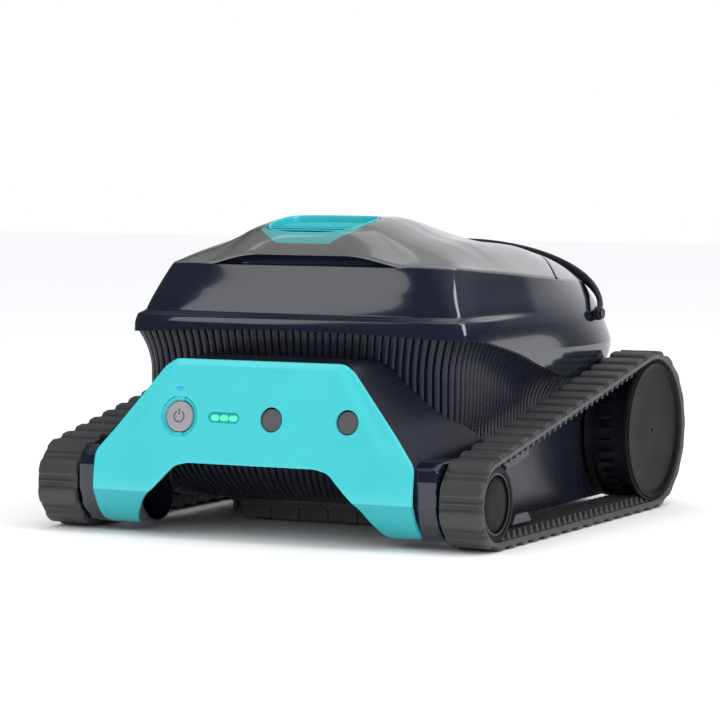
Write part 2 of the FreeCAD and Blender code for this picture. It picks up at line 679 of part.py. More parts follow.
def electronics_case():
    """Sealed box for the control board."""
    shell = box(-100.0, 100.0, 96.5, 180.0, 24.0, 60.0)
    return shell.cut(box(-97.5, 97.5, 99.0, 177.5, 26.5, 57.5))


def control_board():
    """Circuit board with its tallest components."""
    board = box(-85.0, 85.0, 103.0, 174.0, 31.0, 32.6)
    feet = [box(x, x + 6.0, y, y + 6.0, 26.5, 31.0) for x in (-84.0, 78.0) for y in (104.0, 167.0)]
    parts = [box(-70.0 + 34.0 * i, -50.0 + 34.0 * i, 120.0, 150.0, 32.6, 42.0) for i in range(4)]
    return fuse([board] + feet + parts)


# ---- front panel ----------------------------------------------------------------------------
LEAN_ANGLE = math.degrees(math.atan(PANEL_LEAN))
PANEL_OUTLINE = (
    (75.0, PANEL_TOP_Z), (84.0, 146.5), (93.0, 138.5), (111.3, 116.5), (132.3, 91.5), (146.0, 75.0),
    (149.4, 70.0), (150.0, 64.0), (150.0, 41.0), (148.6, 32.0), (144.5, 23.0), (137.5, 15.5),
    (128.0, 11.0), (118.0, 9.4), (103.0, 9.4), (105.5, 17.0), (104.6, 24.0), (99.8, 34.0),
    (88.0, 45.0), (75.6, 56.0), (68.0, 61.5), (60.0, 63.4))
BUTTON_AT = (-70.9, 101.6)
LED_AT = (-28.3, 101.8)
LINK_AT = (-71.8, 124.5)
CAPS_AT = ((16.6, 101.9), (87.2, 102.5))
BUTTON_R = 13.0
BEZEL_R = 16.8
CAP_R = 10.0


def on_panel(shape, at):
    """Move a piece drawn behind the plane y = 0 to its place on the leaning panel."""
    x, z = at
    shape.rotate(V(0, 0, 0), X_AXIS, -LEAN_ANGLE)
    shape.translate(V(x, PANEL_Y0 + PANEL_LEAN * z, z))
    return shape


def panel_slab(near, far):
    """Sheet that follows the panel's leaning face and its turned-back foot."""
    def face(depth, z):
        if z >= PANEL_CREASE_Z:
            return (PANEL_Y0 + PANEL_LEAN * z + depth, z)
        return (PANEL_Y0 + PANEL_LEAN * PANEL_CREASE_Z + 0.4 * (PANEL_CREASE_Z - z) + depth, z)
    heights = (0.0, PANEL_CREASE_Z, 200.0)
    outline = [face(near, z) for z in heights] + [face(far, z) for z in reversed(heights)]
    return prism_x(outline, -180.0, 180.0)


def panel_prism():
    """Front outline of the panel, both sides."""
    right = list(PANEL_OUTLINE)
    left = [(-x, z) for x, z in reversed(right)]
    return prism_y(right + left, -240.0, -180.0)


def front_panel():
    """Teal cover plate with openings for the button, lights and round caps."""
    panel = panel_prism().common(panel_slab(0.0, PANEL_T))
    cuts = [on_panel(rod(BEZEL_R + 0.1, (0, -8.0, 0), (0, 8.0, 0)), BUTTON_AT),
            on_panel(box(-14.6, 14.6, -8.0, 8.0, -4.3, 4.3), LED_AT),
            on_panel(box(-3.2, 3.2, -8.0, 8.0, -1.6, 1.6), LINK_AT)]
    cuts += [on_panel(rod(CAP_R + 0.1, (0, -8.0, 0), (0, 8.0, 0)), at) for at in CAPS_AT]
    return panel.cut(group(cuts))


def front_frame():
    """Hollow shoulder that carries the panel in front of the tub."""
    half = ((75.0, 147.5), (83.0, 144.5), (91.0, 137.0), (109.0, 115.5), (130.0, 90.5), (141.0, 77.0),
            (109.0, 77.0), (109.0, 66.0))
    inner = ((74.0, 144.5), (81.0, 141.5), (89.0, 134.0), (106.0, 114.0), (126.0, 90.5), (134.5, 80.0),
             (106.0, 80.0), (106.0, 69.0))
    solid = prism_y(list(half) + [(-x, z) for x, z in reversed(half)], -240.0, -153.0)
    hollow = prism_y(list(inner) + [(-x, z) for x, z in reversed(inner)], -240.0, -156.0)
    front = prism_x(((PANEL_Y0 + PANEL_T + 0.2, 0.0), (PANEL_Y0 + PANEL_T + 0.2 + PANEL_LEAN * 200.0, 200.0),
                     (-150.0, 200.0), (-150.0, 0.0)), -180.0, 180.0)
    return main_solid(solid.cut(hollow).common(front))


def power_button():
    """Round push button with the stem that works its switch."""
    cap = rod(BUTTON_R, (0, 0.6, 0), (0, 3.4, 0))
    stem = rod(3.0, (0, 3.4, 0), (0, 9.0, 0))
    return on_panel(fuse([cap, stem]), BUTTON_AT)


def button_housing():
    """Ring round the button with the seat that its spring stands on."""
    ring = tube(BEZEL_R, BUTTON_R + 0.4, (0, 0.5, 0), (0, 8.2, 0))
    seat = tube(BEZEL_R, 3.2, (0, 8.2, 0), (0, 12.0, 0))
    return on_panel(fuse([ring, seat]), BUTTON_AT)


def button_spring():
    """Return spring round the button's stem."""
    return on_panel(tube(6.4, 5.0, (0, 3.4, 0), (0, 8.2, 0)), BUTTON_AT)


def indicator_lenses():
    """Clear window over the three charge lights, and the small link light."""
    return group([on_panel(box(-14.5, 14.5, 0.3, 2.7, -4.2, 4.2), LED_AT),
                  on_panel(box(-3.1, 3.1, 0.2, 2.7, -1.5, 1.5), LINK_AT)])


def led_board():
    """Small board with three lamps behind the window."""
    board = box(-18.0, 18.0, 5.0, 6.6, -7.0, 7.0)
    lamps = [rod(2.2, (9.0 * i, 3.0, 0), (9.0 * i, 5.0, 0)) for i in (-1, 0, 1)]
    return on_panel(fuse([board] + lamps), LED_AT)


def panel_caps():
    """Two round caps sunk in the panel."""
    return group([on_panel(rod(CAP_R, (0, 1.0, 0), (0, 3.2, 0)), at) for at in CAPS_AT])


# ---- rubber flaps ---------------------------------------------------------------------------
def flap_carrier():
    """Strip under the tub with an end bracket each side for the flap rod."""
    half = FLAP_COUNT * FLAP_PITCH / 2
    strip = box(-half - 6.0, half + 6.0, -90.0, -60.0, 17.2, 20.0)
    ends = [box(*side_span(side, half + 2.0, half + 6.0), -86.0, -74.0, 8.0, 18.0)
            for _, side in SIDES]
    shape = fuse([strip] + ends)
    return shape.cut(rod(1.5, (-100.0, FLAP_Y, FLAP_Z), (100.0, FLAP_Y, FLAP_Z)))


def rubber_flaps():
    """Row of blades that hang from the rod and brush the floor."""
    blades = []
    for i in range(FLAP_COUNT):
        x0 = (i - FLAP_COUNT / 2) * FLAP_PITCH + (FLAP_PITCH - FLAP_WIDTH) / 2
        blade = box(x0, x0 + FLAP_WIDTH, FLAP_Y - 1.2, FLAP_Y + 1.2, 2.0, FLAP_Z)
        barrel = rod(3.0, (x0, FLAP_Y, FLAP_Z), (x0 + FLAP_WIDTH, FLAP_Y, FLAP_Z))
        hole = rod(1.57, (x0 - 1.0, FLAP_Y, FLAP_Z), (x0 + FLAP_WIDTH + 1.0, FLAP_Y, FLAP_Z))
        blades.append(fuse([blade, barrel]).cut(hole))
    return group(blades)


# ---- assembly -------------------------------------------------------------------------------
def both_sides(make):
    """The same piece on both sides, as two separate solids."""
    return group([mirrored(make(), side) for _, side in SIDES])


def build():
    """Every node of the cleaner, by name."""
    shell, rear_cover, lid, nozzle, grille = make_shells()
    bore = rod(1.55, (-40.0, HINGE_Y, HINGE_Z), (40.0, HINGE_Y, HINGE_Z))
    lid = fuse([lid] + hinge_knuckles()).cut(bore)
    swing = lid_swing(lid)
    bracket = hinge_bracket()
    for shape in swing:
        rear_cover, bracket = rear_cover.cut(shape), bracket.cut(shape)
    pivots = rod(3.0, (-170.0, BAIL_Y, BAIL_Z), (170.0, BAIL_Y, BAIL_Z))
    nodes = {
        "upper_shell": shell.cut(pivots),
        "rear_cover": main_solid(rear_cover),
        "lid": lid,
        "lid_gasket": lid_gasket(),
        "lid_hinge_pin": rod(1.5, (-24.0, HINGE_Y, HINGE_Z), (24.0, HINGE_Y, HINGE_Z)),
        "lid_hinge_bracket": main_solid(bracket),
        "outlet_nozzle": nozzle,
        "outlet_grille": grille,
        "carry_handle": carry_handle(),
        "handle_pins": handle_pins(),
        "ribbed_tub": tub(),
        "chassis_frame": chassis_frame(),
        "casing_screws": casing_screws(),
        "front_panel": front_panel(),
        "front_frame": front_frame(),
        "power_button": power_button(),
        "button_housing": button_housing(),
        "button_spring": button_spring(),
        "indicator_lenses": indicator_lenses(),
        "led_board": led_board(),
        "panel_caps": panel_caps(),
        "pump_motor": pump_motor(),
        "pump_shaft": rod(SHAFT_R, (0, PUMP_Y, 122.0), (0, PUMP_Y, 209.0)),
        "shaft_seal": tube(10.0, SHAFT_R + 0.06, (0, PUMP_Y, 150.0), (0, PUMP_Y, 155.0)),
        "pump_duct": pump_duct(),
        "propeller": propeller(),
        "filter_basket": filter_basket(),
        "filter_mesh": filter_mesh(),
        "inlet_flap": inlet_flap(),
        "inlet_duct": inlet_duct(),
        "battery_pack": battery_pack(),
        "electronics_case": electronics_case(),
        "control_board": control_board(),
        "flap_carrier": flap_carrier(),
        "flap_rod": rod(1.5, (-92.0, FLAP_Y, FLAP_Z), (92.0, FLAP_Y, FLAP_Z)),
        "rubber_flaps": rubber_flaps(),
        "rear_axles": both_sides(lambda: axle(REAR_Y, REAR_BELT_R, 5.0, 152.0, 202.4)),
        "front_axles": both_sides(lambda: axle(FRONT_Y, FRONT_BELT_R, 6.0, 150.0, 203.2)),
        "rear_bushes": both_sides(lambda: bush(REAR_Y, REAR_BELT_R, 7.95, 5.0, 172.0, 201.3)),
        "front_bushes": both_sides(lambda: bush(FRONT_Y, FRONT_BELT_R, 9.95, 6.0, 172.5, 202.0)),
    }
    paired = {
        "track_belt": track_belt, "drive_wheel": drive_wheel, "wheel_disc": wheel_disc,
        "idler_wheel": idler_wheel, "idler_cap": idler_cap, "side_pod": pod,
        "belt_guide": belt_guide, "drive_motor": drive_motor, "drive_pinion": drive_pinion,
    }
    for name, make in paired.items():
        piece = make()
        for word, side in SIDES:
            nodes[f"{name}_{word}"] = mirrored(piece, side)
    return nodes


def main():
    """Write one STEP file per node."""
    os.makedirs("parts", exist_ok=True)
    for name, shape in build().items():
        shape.exportStep(f"parts/{name}.step")


main()
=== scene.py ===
import json
import math

import bmesh
import bpy
import numpy as np
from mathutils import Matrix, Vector
from mathutils.geometry import delaunay_2d_cdt


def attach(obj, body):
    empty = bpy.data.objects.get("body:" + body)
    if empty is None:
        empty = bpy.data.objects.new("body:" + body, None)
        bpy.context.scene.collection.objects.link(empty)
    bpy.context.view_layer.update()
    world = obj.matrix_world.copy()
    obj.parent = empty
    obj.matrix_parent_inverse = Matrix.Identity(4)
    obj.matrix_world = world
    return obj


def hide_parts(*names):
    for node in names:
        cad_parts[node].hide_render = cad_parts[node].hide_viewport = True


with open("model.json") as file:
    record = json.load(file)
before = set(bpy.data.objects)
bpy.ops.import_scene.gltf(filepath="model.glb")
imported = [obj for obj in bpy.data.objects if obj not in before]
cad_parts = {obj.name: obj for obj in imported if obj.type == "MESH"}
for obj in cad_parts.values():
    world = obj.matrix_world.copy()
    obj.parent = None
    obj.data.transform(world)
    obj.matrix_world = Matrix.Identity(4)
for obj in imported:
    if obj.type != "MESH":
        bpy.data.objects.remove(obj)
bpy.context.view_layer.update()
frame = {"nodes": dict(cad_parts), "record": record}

MM = 0.001
SIDES = (("left", -1.0), ("right", 1.0))
NODES = frame["nodes"]


# ---- materials ------------------------------------------------------------------------------
def map_range(tree, value, start, full, to=(0.0, 1.0), ease=True):
    """Socket that runs over a range of its own while a value runs from start to full."""
    made = tree.nodes.new("ShaderNodeMapRange")
    if ease:
        made.interpolation_type = "SMOOTHSTEP"
    for name, number in (("From Min", start), ("From Max", full), ("To Min", to[0]),
                         ("To Max", to[1])):
        made.inputs[name].default_value = number
    tree.links.new(value, made.inputs["Value"])
    return made.outputs[0]


def blend_colour(tree, share, base, color):
    """Socket with a colour laid over a base colour by a share from 0 to 1."""
    mix = tree.nodes.new("ShaderNodeMix")
    mix.data_type = "RGBA"
    factor, under, over = mix.inputs[0], mix.inputs[6], mix.inputs[7]
    over.default_value = (*color, 1.0)
    tree.links.new(share, factor)
    tree.links.new(base, under)
    return mix.outputs[2]


def tint(mat, share, color):
    """Lay a colour over a material's base colour by a share from 0 to 1."""
    entry = mat.node_tree.nodes["Principled BSDF"].inputs["Base Color"]
    laid = blend_colour(mat.node_tree, share, entry.links[0].from_socket, color)
    mat.node_tree.links.new(laid, entry)


def object_axes(mat):
    """X, Y and Z sockets of the place on the object, in metres."""
    nodes = mat.node_tree.nodes
    split = nodes.new("ShaderNodeSeparateXYZ")
    mat.node_tree.links.new(nodes.new("ShaderNodeTexCoord").outputs["Object"], split.inputs[0])
    return split.outputs


def material(name, color, rough, metallic=0.0, coat=0.0, coat_rough=0.05, ior=1.5, mottle=0.06,
             rough_vary=0.06, bump=0.0, grain=900.0, glow=0.0, glow_color=None, edge=0.0):
    """Moulded or metal surface: slow colour drift, uneven gloss, fine grain and lighter edges."""
    mat = bpy.data.materials.new(name)
    mat.use_nodes = True
    tree = mat.node_tree
    nodes, links = tree.nodes, tree.links
    shader = nodes["Principled BSDF"]
    shader.inputs["Metallic"].default_value = metallic
    shader.inputs["IOR"].default_value = ior
    shader.inputs["Coat Weight"].default_value = coat
    shader.inputs["Coat Roughness"].default_value = coat_rough
    if glow:
        shader.inputs["Emission Color"].default_value = (*(glow_color or color), 1.0)
        shader.inputs["Emission Strength"].default_value = glow
    place = nodes.new("ShaderNodeTexCoord").outputs["Object"]
    drift = nodes.new("ShaderNodeTexNoise")
    drift.inputs["Scale"].default_value = 14.0
    drift.inputs["Detail"].default_value = 4.0
    links.new(place, drift.inputs["Vector"])
    ramp = nodes.new("ShaderNodeValToRGB")
    dark = [c * (1.0 - mottle) for c in color]
    light = [min(1.0, c * (1.0 + mottle)) for c in color]
    ramp.color_ramp.elements[0].position = 0.3
    ramp.color_ramp.elements[1].position = 0.7
    ramp.color_ramp.elements[0].color = (*dark, 1.0)
    ramp.color_ramp.elements[1].color = (*light, 1.0)
    links.new(drift.outputs["Fac"], ramp.inputs["Fac"])
    paint = ramp.outputs["Color"]
    if edge:
        wear = nodes.new("ShaderNodeNewGeometry")
        worn = map_range(tree, wear.outputs["Pointiness"], 0.52, 0.62, (0.0, edge), ease=False)
        paint = blend_colour(tree, worn, paint, [min(1.0, c * 1.8 + 0.02) for c in color])
    links.new(paint, shader.inputs["Base Color"])
    fine = nodes.new("ShaderNodeTexNoise")
    fine.inputs["Scale"].default_value = grain
    fine.inputs["Detail"].default_value = 3.0
    links.new(place, fine.inputs["Vector"])
    blotch = nodes.new("ShaderNodeTexNoise")
    blotch.inputs["Scale"].default_value = 40.0
    links.new(place, blotch.inputs["Vector"])
    gloss = map_range(tree, blotch.outputs["Fac"], 0.0, 1.0,
                      (max(0.02, rough - rough_vary), min(1.0, rough + rough_vary)), ease=False)
    links.new(gloss, shader.inputs["Roughness"])
    if bump:
        relief = nodes.new("ShaderNodeBump")
        relief.inputs["Strength"].default_value = 1.0
        relief.inputs["Distance"].default_value = bump * MM
        links.new(fine.outputs["Fac"], relief.inputs["Height"])
        links.new(relief.outputs["Normal"], shader.inputs["Normal"])
    return mat


M = {
    "fairing": material("navy_fairing", (0.010, 0.0115, 0.022), 0.32, coat=0.1, coat_rough=0.25,
        mottle=0.05, bump=0.004, grain=500.0),
    "shell": material("navy_shell", (0.011, 0.013, 0.028), 0.10, coat=0.6, coat_rough=0.04,
        rough_vary=0.02, mottle=0.04, bump=0.002, grain=300.0),
    "rib": material("navy_ribs", (0.0115, 0.0130, 0.0240), 0.27, coat=0.12, coat_rough=0.2,
        mottle=0.1, bump=0.01, grain=700.0, ior=1.36),
    "cover": material("smoke_cover", (0.165, 0.168, 0.17), 0.2, coat=0.8, coat_rough=0.08,
        rough_vary=0.03, mottle=0.05, bump=0.002, grain=300.0),
    "teal": material("teal_panel", (0.055, 0.620, 0.660), 0.30, coat=0.35, coat_rough=0.15,
        mottle=0.03, bump=0.004, grain=1200.0),
    "turquoise": material("turquoise_part", (0.022, 0.540, 0.590), 0.3, coat=0.2, coat_rough=0.2,
        mottle=0.05, bump=0.006, grain=1200.0),
    "belt": material("belt_rubber", (0.045, 0.046, 0.048), 0.5, mottle=0.12, rough_vary=0.1,
        bump=0.03, grain=1500.0, edge=0.5),
    "flap": material("flap_rubber", (0.070, 0.070, 0.072), 0.6, mottle=0.12, bump=0.03,
        grain=1500.0, edge=0.4),
    "disc": material("wheel_disc", (0.0045, 0.0048, 0.0060), 0.42, mottle=0.1, bump=0.012,
        grain=1300.0, edge=0.3, ior=1.18),
    "wheel": material("wheel_core", (0.006, 0.0065, 0.011), 0.34, mottle=0.1, bump=0.012,
        grain=1300.0, edge=0.3),
    "guide": material("guide_grey", (0.013, 0.014, 0.019), 0.35, mottle=0.1, bump=0.012,
        grain=1100.0, edge=0.3),
    "handle": material("handle_black", (0.010, 0.0105, 0.013), 0.36, mottle=0.1, bump=0.012,
        grain=1200.0, edge=0.25),
    "button": material("button_mauve", (0.36, 0.33, 0.36), 0.32, coat=0.2, mottle=0.03, bump=0.003,
        grain=900.0),
    "symbol": material("symbol_grey", (0.05, 0.05, 0.06), 0.4, mottle=0.05),
    "cap": material("cap_grey", (0.105, 0.098, 0.104), 0.45, mottle=0.06, bump=0.01, grain=900.0),
    "slot": material("slot_teal", (0.016, 0.42, 0.42), 0.25, coat=0.5, mottle=0.05),
    "green": material("lamp_green", (0.10, 0.80, 0.42), 0.2, coat=0.5, mottle=0.15, glow=0.55,
        glow_color=(0.12, 0.95, 0.45)),
    "blue": material("lamp_blue", (0.03, 0.33, 0.85), 0.25, coat=0.5, mottle=0.1, glow=0.35,
        glow_color=(0.03, 0.35, 0.95)),
    "steel": material("brushed_steel", (0.50, 0.50, 0.51), 0.3, metallic=1.0, mottle=0.06,
        bump=0.006, grain=2500.0),
    "bronze": material("bearing_bronze", (0.45, 0.28, 0.11), 0.35, metallic=1.0, mottle=0.1,
        bump=0.004),
    "motor": material("motor_case", (0.015, 0.015, 0.017), 0.35, metallic=0.6, mottle=0.1,
        bump=0.02, grain=1600.0),
    "inner": material("inner_black", (0.012, 0.012, 0.013), 0.5, mottle=0.1, bump=0.015),
    "cell": material("cell_wrap", (0.020, 0.070, 0.230), 0.35, mottle=0.08, bump=0.004),
    "circuit": material("circuit_green", (0.006, 0.090, 0.030), 0.4, mottle=0.2, bump=0.01),
    "mesh": material("filter_weave", (0.62, 0.65, 0.67), 0.7, mottle=0.1, bump=0.12, grain=2200.0),
    "seal": material("seal_rubber", (0.008, 0.008, 0.008), 0.6, mottle=0.1, bump=0.02),
}
SLOT_LOOK = {
    "shell_navy": "shell", "rib_navy": "rib", "cover_smoke": "cover", "lid_smoke": "cover",
    "teal_panel": "teal", "turquoise": "turquoise", "belt_rubber": "belt", "flap_rubber": "flap",
    "wheel_grey": "disc", "wheel_navy": "wheel", "guide_grey": "guide", "handle_black": "handle",
    "button_mauve": "button", "cap_grey": "cap", "lens": "slot", "steel": "steel",
    "bronze": "bronze", "motor_case": "motor", "inner_black": "inner", "cell_wrap": "cell",
    "circuit_green": "circuit", "mesh_white": "mesh", "seal_rubber": "seal",
}
for part in frame["record"]["subparts"]:
    node = NODES[part["node"]]
    look = M["handle" if part["node"] == "handle_pins" else SLOT_LOOK[part["material_slot"]]]
    if not node.material_slots:
        node.data.materials.append(look)
    for place in node.material_slots:
        place.material = look


# ---- mesh helpers ---------------------------------------------------------------------------
def piece(name, points, faces, look, body, replaces=(), sharp=35.0):
    """One visible object from points in millimetres."""
    mesh = bpy.data.meshes.new(name)
    mesh.from_pydata((np.asarray(points, float) * MM).tolist(), [], faces)
    mesh.update()
    work = bmesh.new()
    work.from_mesh(mesh)
    bmesh.ops.recalc_face_normals(work, faces=work.faces)
    work.to_mesh(mesh)
    work.free()
    mesh.shade_smooth()
    mesh.set_sharp_from_angle(angle=math.radians(sharp))
    obj = bpy.data.objects.new(name, mesh)
    bpy.context.scene.collection.objects.link(obj)
    mesh.materials.append(look)
    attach(obj, body)
    if replaces:
        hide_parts(*replaces)
    return obj


def grid_faces(rows, cols, close_rows=False, close_cols=False, start=0):
    """Quads of a rows x cols grid of points."""
    faces = []
    for i in range(rows if close_rows else rows - 1):
        for j in range(cols if close_cols else cols - 1):
            a, b = i * cols + j, i * cols + (j + 1) % cols
            c, d = ((i + 1) % rows) * cols + (j + 1) % cols, ((i + 1) % rows) * cols + j
            faces.append((start + a, start + b, start + c, start + d))
    return faces


def tube_faces(rows, cols):
    """Quads of a closed tube of rows rings of cols points, with a face at each end."""
    return (grid_faces(rows, cols, close_cols=True)
            + [tuple(range(cols)), tuple((rows - 1) * cols + k for k in range(cols))])


def capped_faces(rows, cols):
    """Quads of a turned form, with a face over its last ring."""
    return (grid_faces(rows, cols, close_rows=True)
            + [tuple(i * cols + cols - 1 for i in range(rows))])


def merge(*parts):
    """Join (points, faces) pairs into one."""
    points, faces = [], []
    for pts, fcs in parts:
        base = len(points)
        points += [tuple(p) for p in np.asarray(pts, float).reshape(-1, 3)]
        faces += [tuple(base + i for i in f) for f in fcs]
    return points, faces


def flip_x(points):
    """Points mirrored to the other side."""
    out = np.array(points, float).reshape(-1, 3)
    out[:, 0] *= -1.0
    return out


def on_side(points, side):
    """Points of the right-hand side, or mirrored where side is below 0."""
    return points.reshape(-1, 3) if side > 0 else flip_x(points)


def curve_through(xs, ys, at):
    """Smooth curve with no overshoot through the given points."""
    xs, ys = np.asarray(xs, float), np.asarray(ys, float)
    step, rise = np.diff(xs), np.diff(ys) / np.diff(xs)
    slope = np.zeros_like(ys)
    both = rise[:-1] * rise[1:]
    slope[1:-1] = np.where(both > 0, 2 * both / (rise[:-1] + rise[1:] + 1e-12), 0.0)
    slope[0], slope[-1] = rise[0], rise[-1]
    at = np.clip(at, xs[0], xs[-1])
    i = np.clip(np.searchsorted(xs, at) - 1, 0, len(step) - 1)
    t = (at - xs[i]) / step[i]
    return ((2 * t**3 - 3 * t**2 + 1) * ys[i] + (t**3 - 2 * t**2 + t) * step[i] * slope[i]
            + (3 * t**2 - 2 * t**3) * ys[i + 1] + (t**3 - t**2) * step[i] * slope[i + 1])


def smooth(a, b, x):
    """0 below a, 1 above b, eased between."""
    t = np.clip((x - a) / (b - a), 0.0, 1.0)
    return t * t * (3.0 - 2.0 * t)


def lathe(profile, y, z, count=96, start=0):
    """Turned form about an axle along X; profile is (x, radius) points."""
    turn = np.linspace(0, 2 * math.pi, count, endpoint=False)
    pts = [[(x, y + r * math.cos(t), z + r * math.sin(t)) for x, r in profile] for t in turn]
    return np.array(pts).reshape(-1, 3), grid_faces(count, len(profile), close_rows=True,
                                                    start=start)


# ---- body skin ------------------------------------------------------------------------------
# Half width, front and rear of the outline at each height, and how square its corners are.
CENTRE_Y = -20.0
SKIN_Z = (100, 150, 172, 184, 203, 222, 232, 240)
HALF = (168, 166.5, 165.5, 163, 156.5, 149.5, 143, 136)
FRONT = (-158, -157, -156, -152, -143, -133, -128, -123)
REAR = (210, 216, 215, 214, 209, 194, 174, 150)
REAR_N = (6, 6, 5.5, 5.2, 4.6, 3.3, 2.2, 2)
FRONT_N = 9.0
TAPER = 0.11
SEAM_Z0, SEAM_SLOPE = 214.5, -0.0844
LEDGE_Z, LEDGE_IN = 183.0, 6.0


def skin(alpha, z):
    """Body surface: arrays over the angle (first axis) and height, as x and y."""
    half, front, rear, rear_n = (curve_through(SKIN_Z, t, z) for t in (HALF, FRONT, REAR, REAR_N))
    c, s = np.cos(alpha), np.sin(alpha)
    power = np.where(s < 0, FRONT_N - 2.0 * smooth(190, 235, z), rear_n)
    reach = np.where(s < 0, CENTRE_Y - front, rear - CENTRE_Y)
    r = (np.abs(c / half) ** power + np.abs(s / reach) ** power) ** (-1.0 / power)
    x, y = r * c, CENTRE_Y + r * s
    back = np.clip((y - CENTRE_Y) / 220.0, 0, 1)
    return x * (1 - TAPER * np.clip((z - 150) / 60.0, 0, 1) * back**2), y


def push_in(x, y, depth, step=1):
    """Move closed outlines (first axis) inwards in plan by a depth; step is how far apart the
    neighbours are that give the direction."""
    tx = np.roll(x, -step, 0) - np.roll(x, step, 0)
    ty = np.roll(y, -step, 0) - np.roll(y, step, 0)
    size = np.hypot(tx, ty)
    return x - depth * ty / size, y + depth * tx / size


def rim_z(x, y):
    """Lower edge of the upper shell."""
    side = curve_through((-170, -126, -90, -49, 0, 56, 100, 140, 175, 216),
                         (166, 166, 160, 151, 136.5, 124, 123.5, 131, 146.5, 150), y)
    return side + 6.0 * smooth(-110, -150, y) * (1 - (np.clip(np.abs(x) / 165.0, 0, 1)) ** 2)


def seam_z(y):
    """Upper edge of the upper shell."""
    return SEAM_Z0 + SEAM_SLOPE * y


def arch(x, y):
    """Rise of the lid's front edge in the middle."""
    return smooth(104, 50, np.abs(x)) * smooth(-60, -100, y)


AROUND = 720
ANGLES = np.linspace(0, 2 * math.pi, AROUND, endpoint=False)
ARCH_RISE = 9.0


def ring_at(level):
    """Skin outline whose height is a function of the place."""
    z = np.full_like(ANGLES, 200.0)
    for _ in range(6):
        x, y = skin(ANGLES, z)
        z = level(x, y)
    return x, y, z


def ledge_depth(y, z):
    """How far the shell is drawn in above the skirt's ledge."""
    return LEDGE_IN * smooth(LEDGE_Z - 2.0, LEDGE_Z + 2.6, z) * smooth(0, -115, y)


def make_upper_shell():
    """Gloss shell from its curved rim up to the lid's seam, closed by a turned-in lip."""
    rows = 84
    x0, y0, low = ring_at(rim_z)
    x1, y1, high = ring_at(lambda x, y: seam_z(y))
    lift = ARCH_RISE * arch(x1, y1)
    share = np.linspace(0, 1, rows)[None, :]
    z = low[:, None] * (1 - share) + high[:, None] * share
    x, y = skin(ANGLES[:, None], z)
    x, y = push_in(x, y, ledge_depth(y, z))
    rim = []
    for depth, rise in ((2.6, 1.6), (0.9, 0.2), (0.25, 0.5)):
        rx, ry = push_in(x[:, :1], y[:, :1], np.full((AROUND, 1), depth))
        rim.append((rx, ry, z[:, :1] + rise))
    top = []
    for depth, rise in ((0.9, 0.5), (3.2, 0.9)):
        rx, ry = push_in(x[:, -1:], y[:, -1:], np.full((AROUND, 1), depth))
        top.append((rx, ry, z[:, -1:] + rise))
    for depth, part in ((4.2, 0.35), (5.6, 1.0)):
        rx, ry = push_in(x[:, -1:], y[:, -1:], np.full((AROUND, 1), depth))
        top.append((rx, ry, z[:, -1:] + 1.0 + part * lift[:, None]))
    rx, ry = push_in(x[:, -1:], y[:, -1:], np.full((AROUND, 1), 9.0))
    top.append((rx, ry, z[:, -1:] + 0.4 + lift[:, None]))
    columns = rim + [(x, y, z)] + top
    pts = np.stack([np.concatenate([part[k] for part in columns], 1) for k in range(3)], -1)
    piece("shell_body", pts.reshape(-1, 3), grid_faces(AROUND, pts.shape[1], close_rows=True),
          M["shell"], "chassis", ["upper_shell"], sharp=60)


# ---- lid and rear cover ---------------------------------------------------------------------
PUMP_Y = -88.5
# Height of the top along the middle, and its fall to the sides.
HIGH_Y = (-150, -130, -122, -110, -98, -73, -57, -40, -20, 0, 40, 80, 120, 160, 192, 215)
HIGH_Z = (246, 251, 254.5, 258.4, 261.1, 264.5, 265.55, 265.55, 263.1, 258.8, 249.8, 242.2, 236,
          230, 222, 210)
FALL_X = (0, 42, 52, 62, 75, 88, 100, 115, 130, 150)
FALL_Z = (0, 0.2, 1.6, 5.2, 11.6, 16.8, 19.8, 21.2, 22, 26)
SEAM_NOSE, SEAM_SWEEP, LID_APEX_Y = 60.0, 1.2, 192.0
WINDOW_A, WINDOW_B, WINDOW_POWER = 46.0, 36.5, 3.2
DUCT_LOW, DUCT_SHOWS = 244.0, 0.6


def crest(x, y):
    """Height of the top away from its edges."""
    middle = curve_through(HIGH_Y, HIGH_Z, y)
    fall = curve_through(FALL_X, FALL_Z, np.abs(x))
    return middle - fall * (0.42 + 0.58 * smooth(60, -50, y))


def window_reach(dx, dy):
    """Distance from the grille's middle to its rim in a direction."""
    power = WINDOW_POWER
    return (np.abs(dx / WINDOW_A) ** power + np.abs(dy / WINDOW_B) ** power) ** (-1 / power)


def rear_seam_reach(dx, dy, gap):
    """Distance from the grille's middle to the curved rear seam, or a large number."""
    out = np.full_like(dx, 1e6)
    for i, (u, v) in enumerate(zip(dx, dy)):
        if v > 0.02:
            low, high = 0.0, 600.0
            for _ in range(40):
                mid = (low + high) / 2
                x, y = u * mid, PUMP_Y + v * mid
                if y > LID_APEX_Y + SEAM_NOSE + gap - math.hypot(SEAM_NOSE, SEAM_SWEEP * x):
                    high = mid
                else:
                    low = mid
            out[i] = low
    return out


def top_setup():
    """Rays from the middle of the grille to the lid's outer edge."""
    bx, by, bz = ring_at(lambda x, y: seam_z(y))
    depth = ledge_depth(by, bz)
    bx, by = push_in(bx[:, None], by[:, None], depth[:, None] + 0.4)
    bx, by = bx[:, 0], by[:, 0]
    bz = bz + 1.2 + ARCH_RISE * arch(bx, by)
    by = by - 5.0 * arch(bx, by)
    vx, vy = bx, by - PUMP_Y
    reach = np.hypot(vx, vy)
    return bx, by, bz, vx / reach, vy / reach, reach


def top_height(x, y, from_edge, edge_z, zone):
    """Roll-over from the seam up to the crest."""
    w = 1 - np.clip(1 - from_edge / zone, 0, 1) ** 2.3
    return edge_z * (1 - w) + crest(x, y) * w


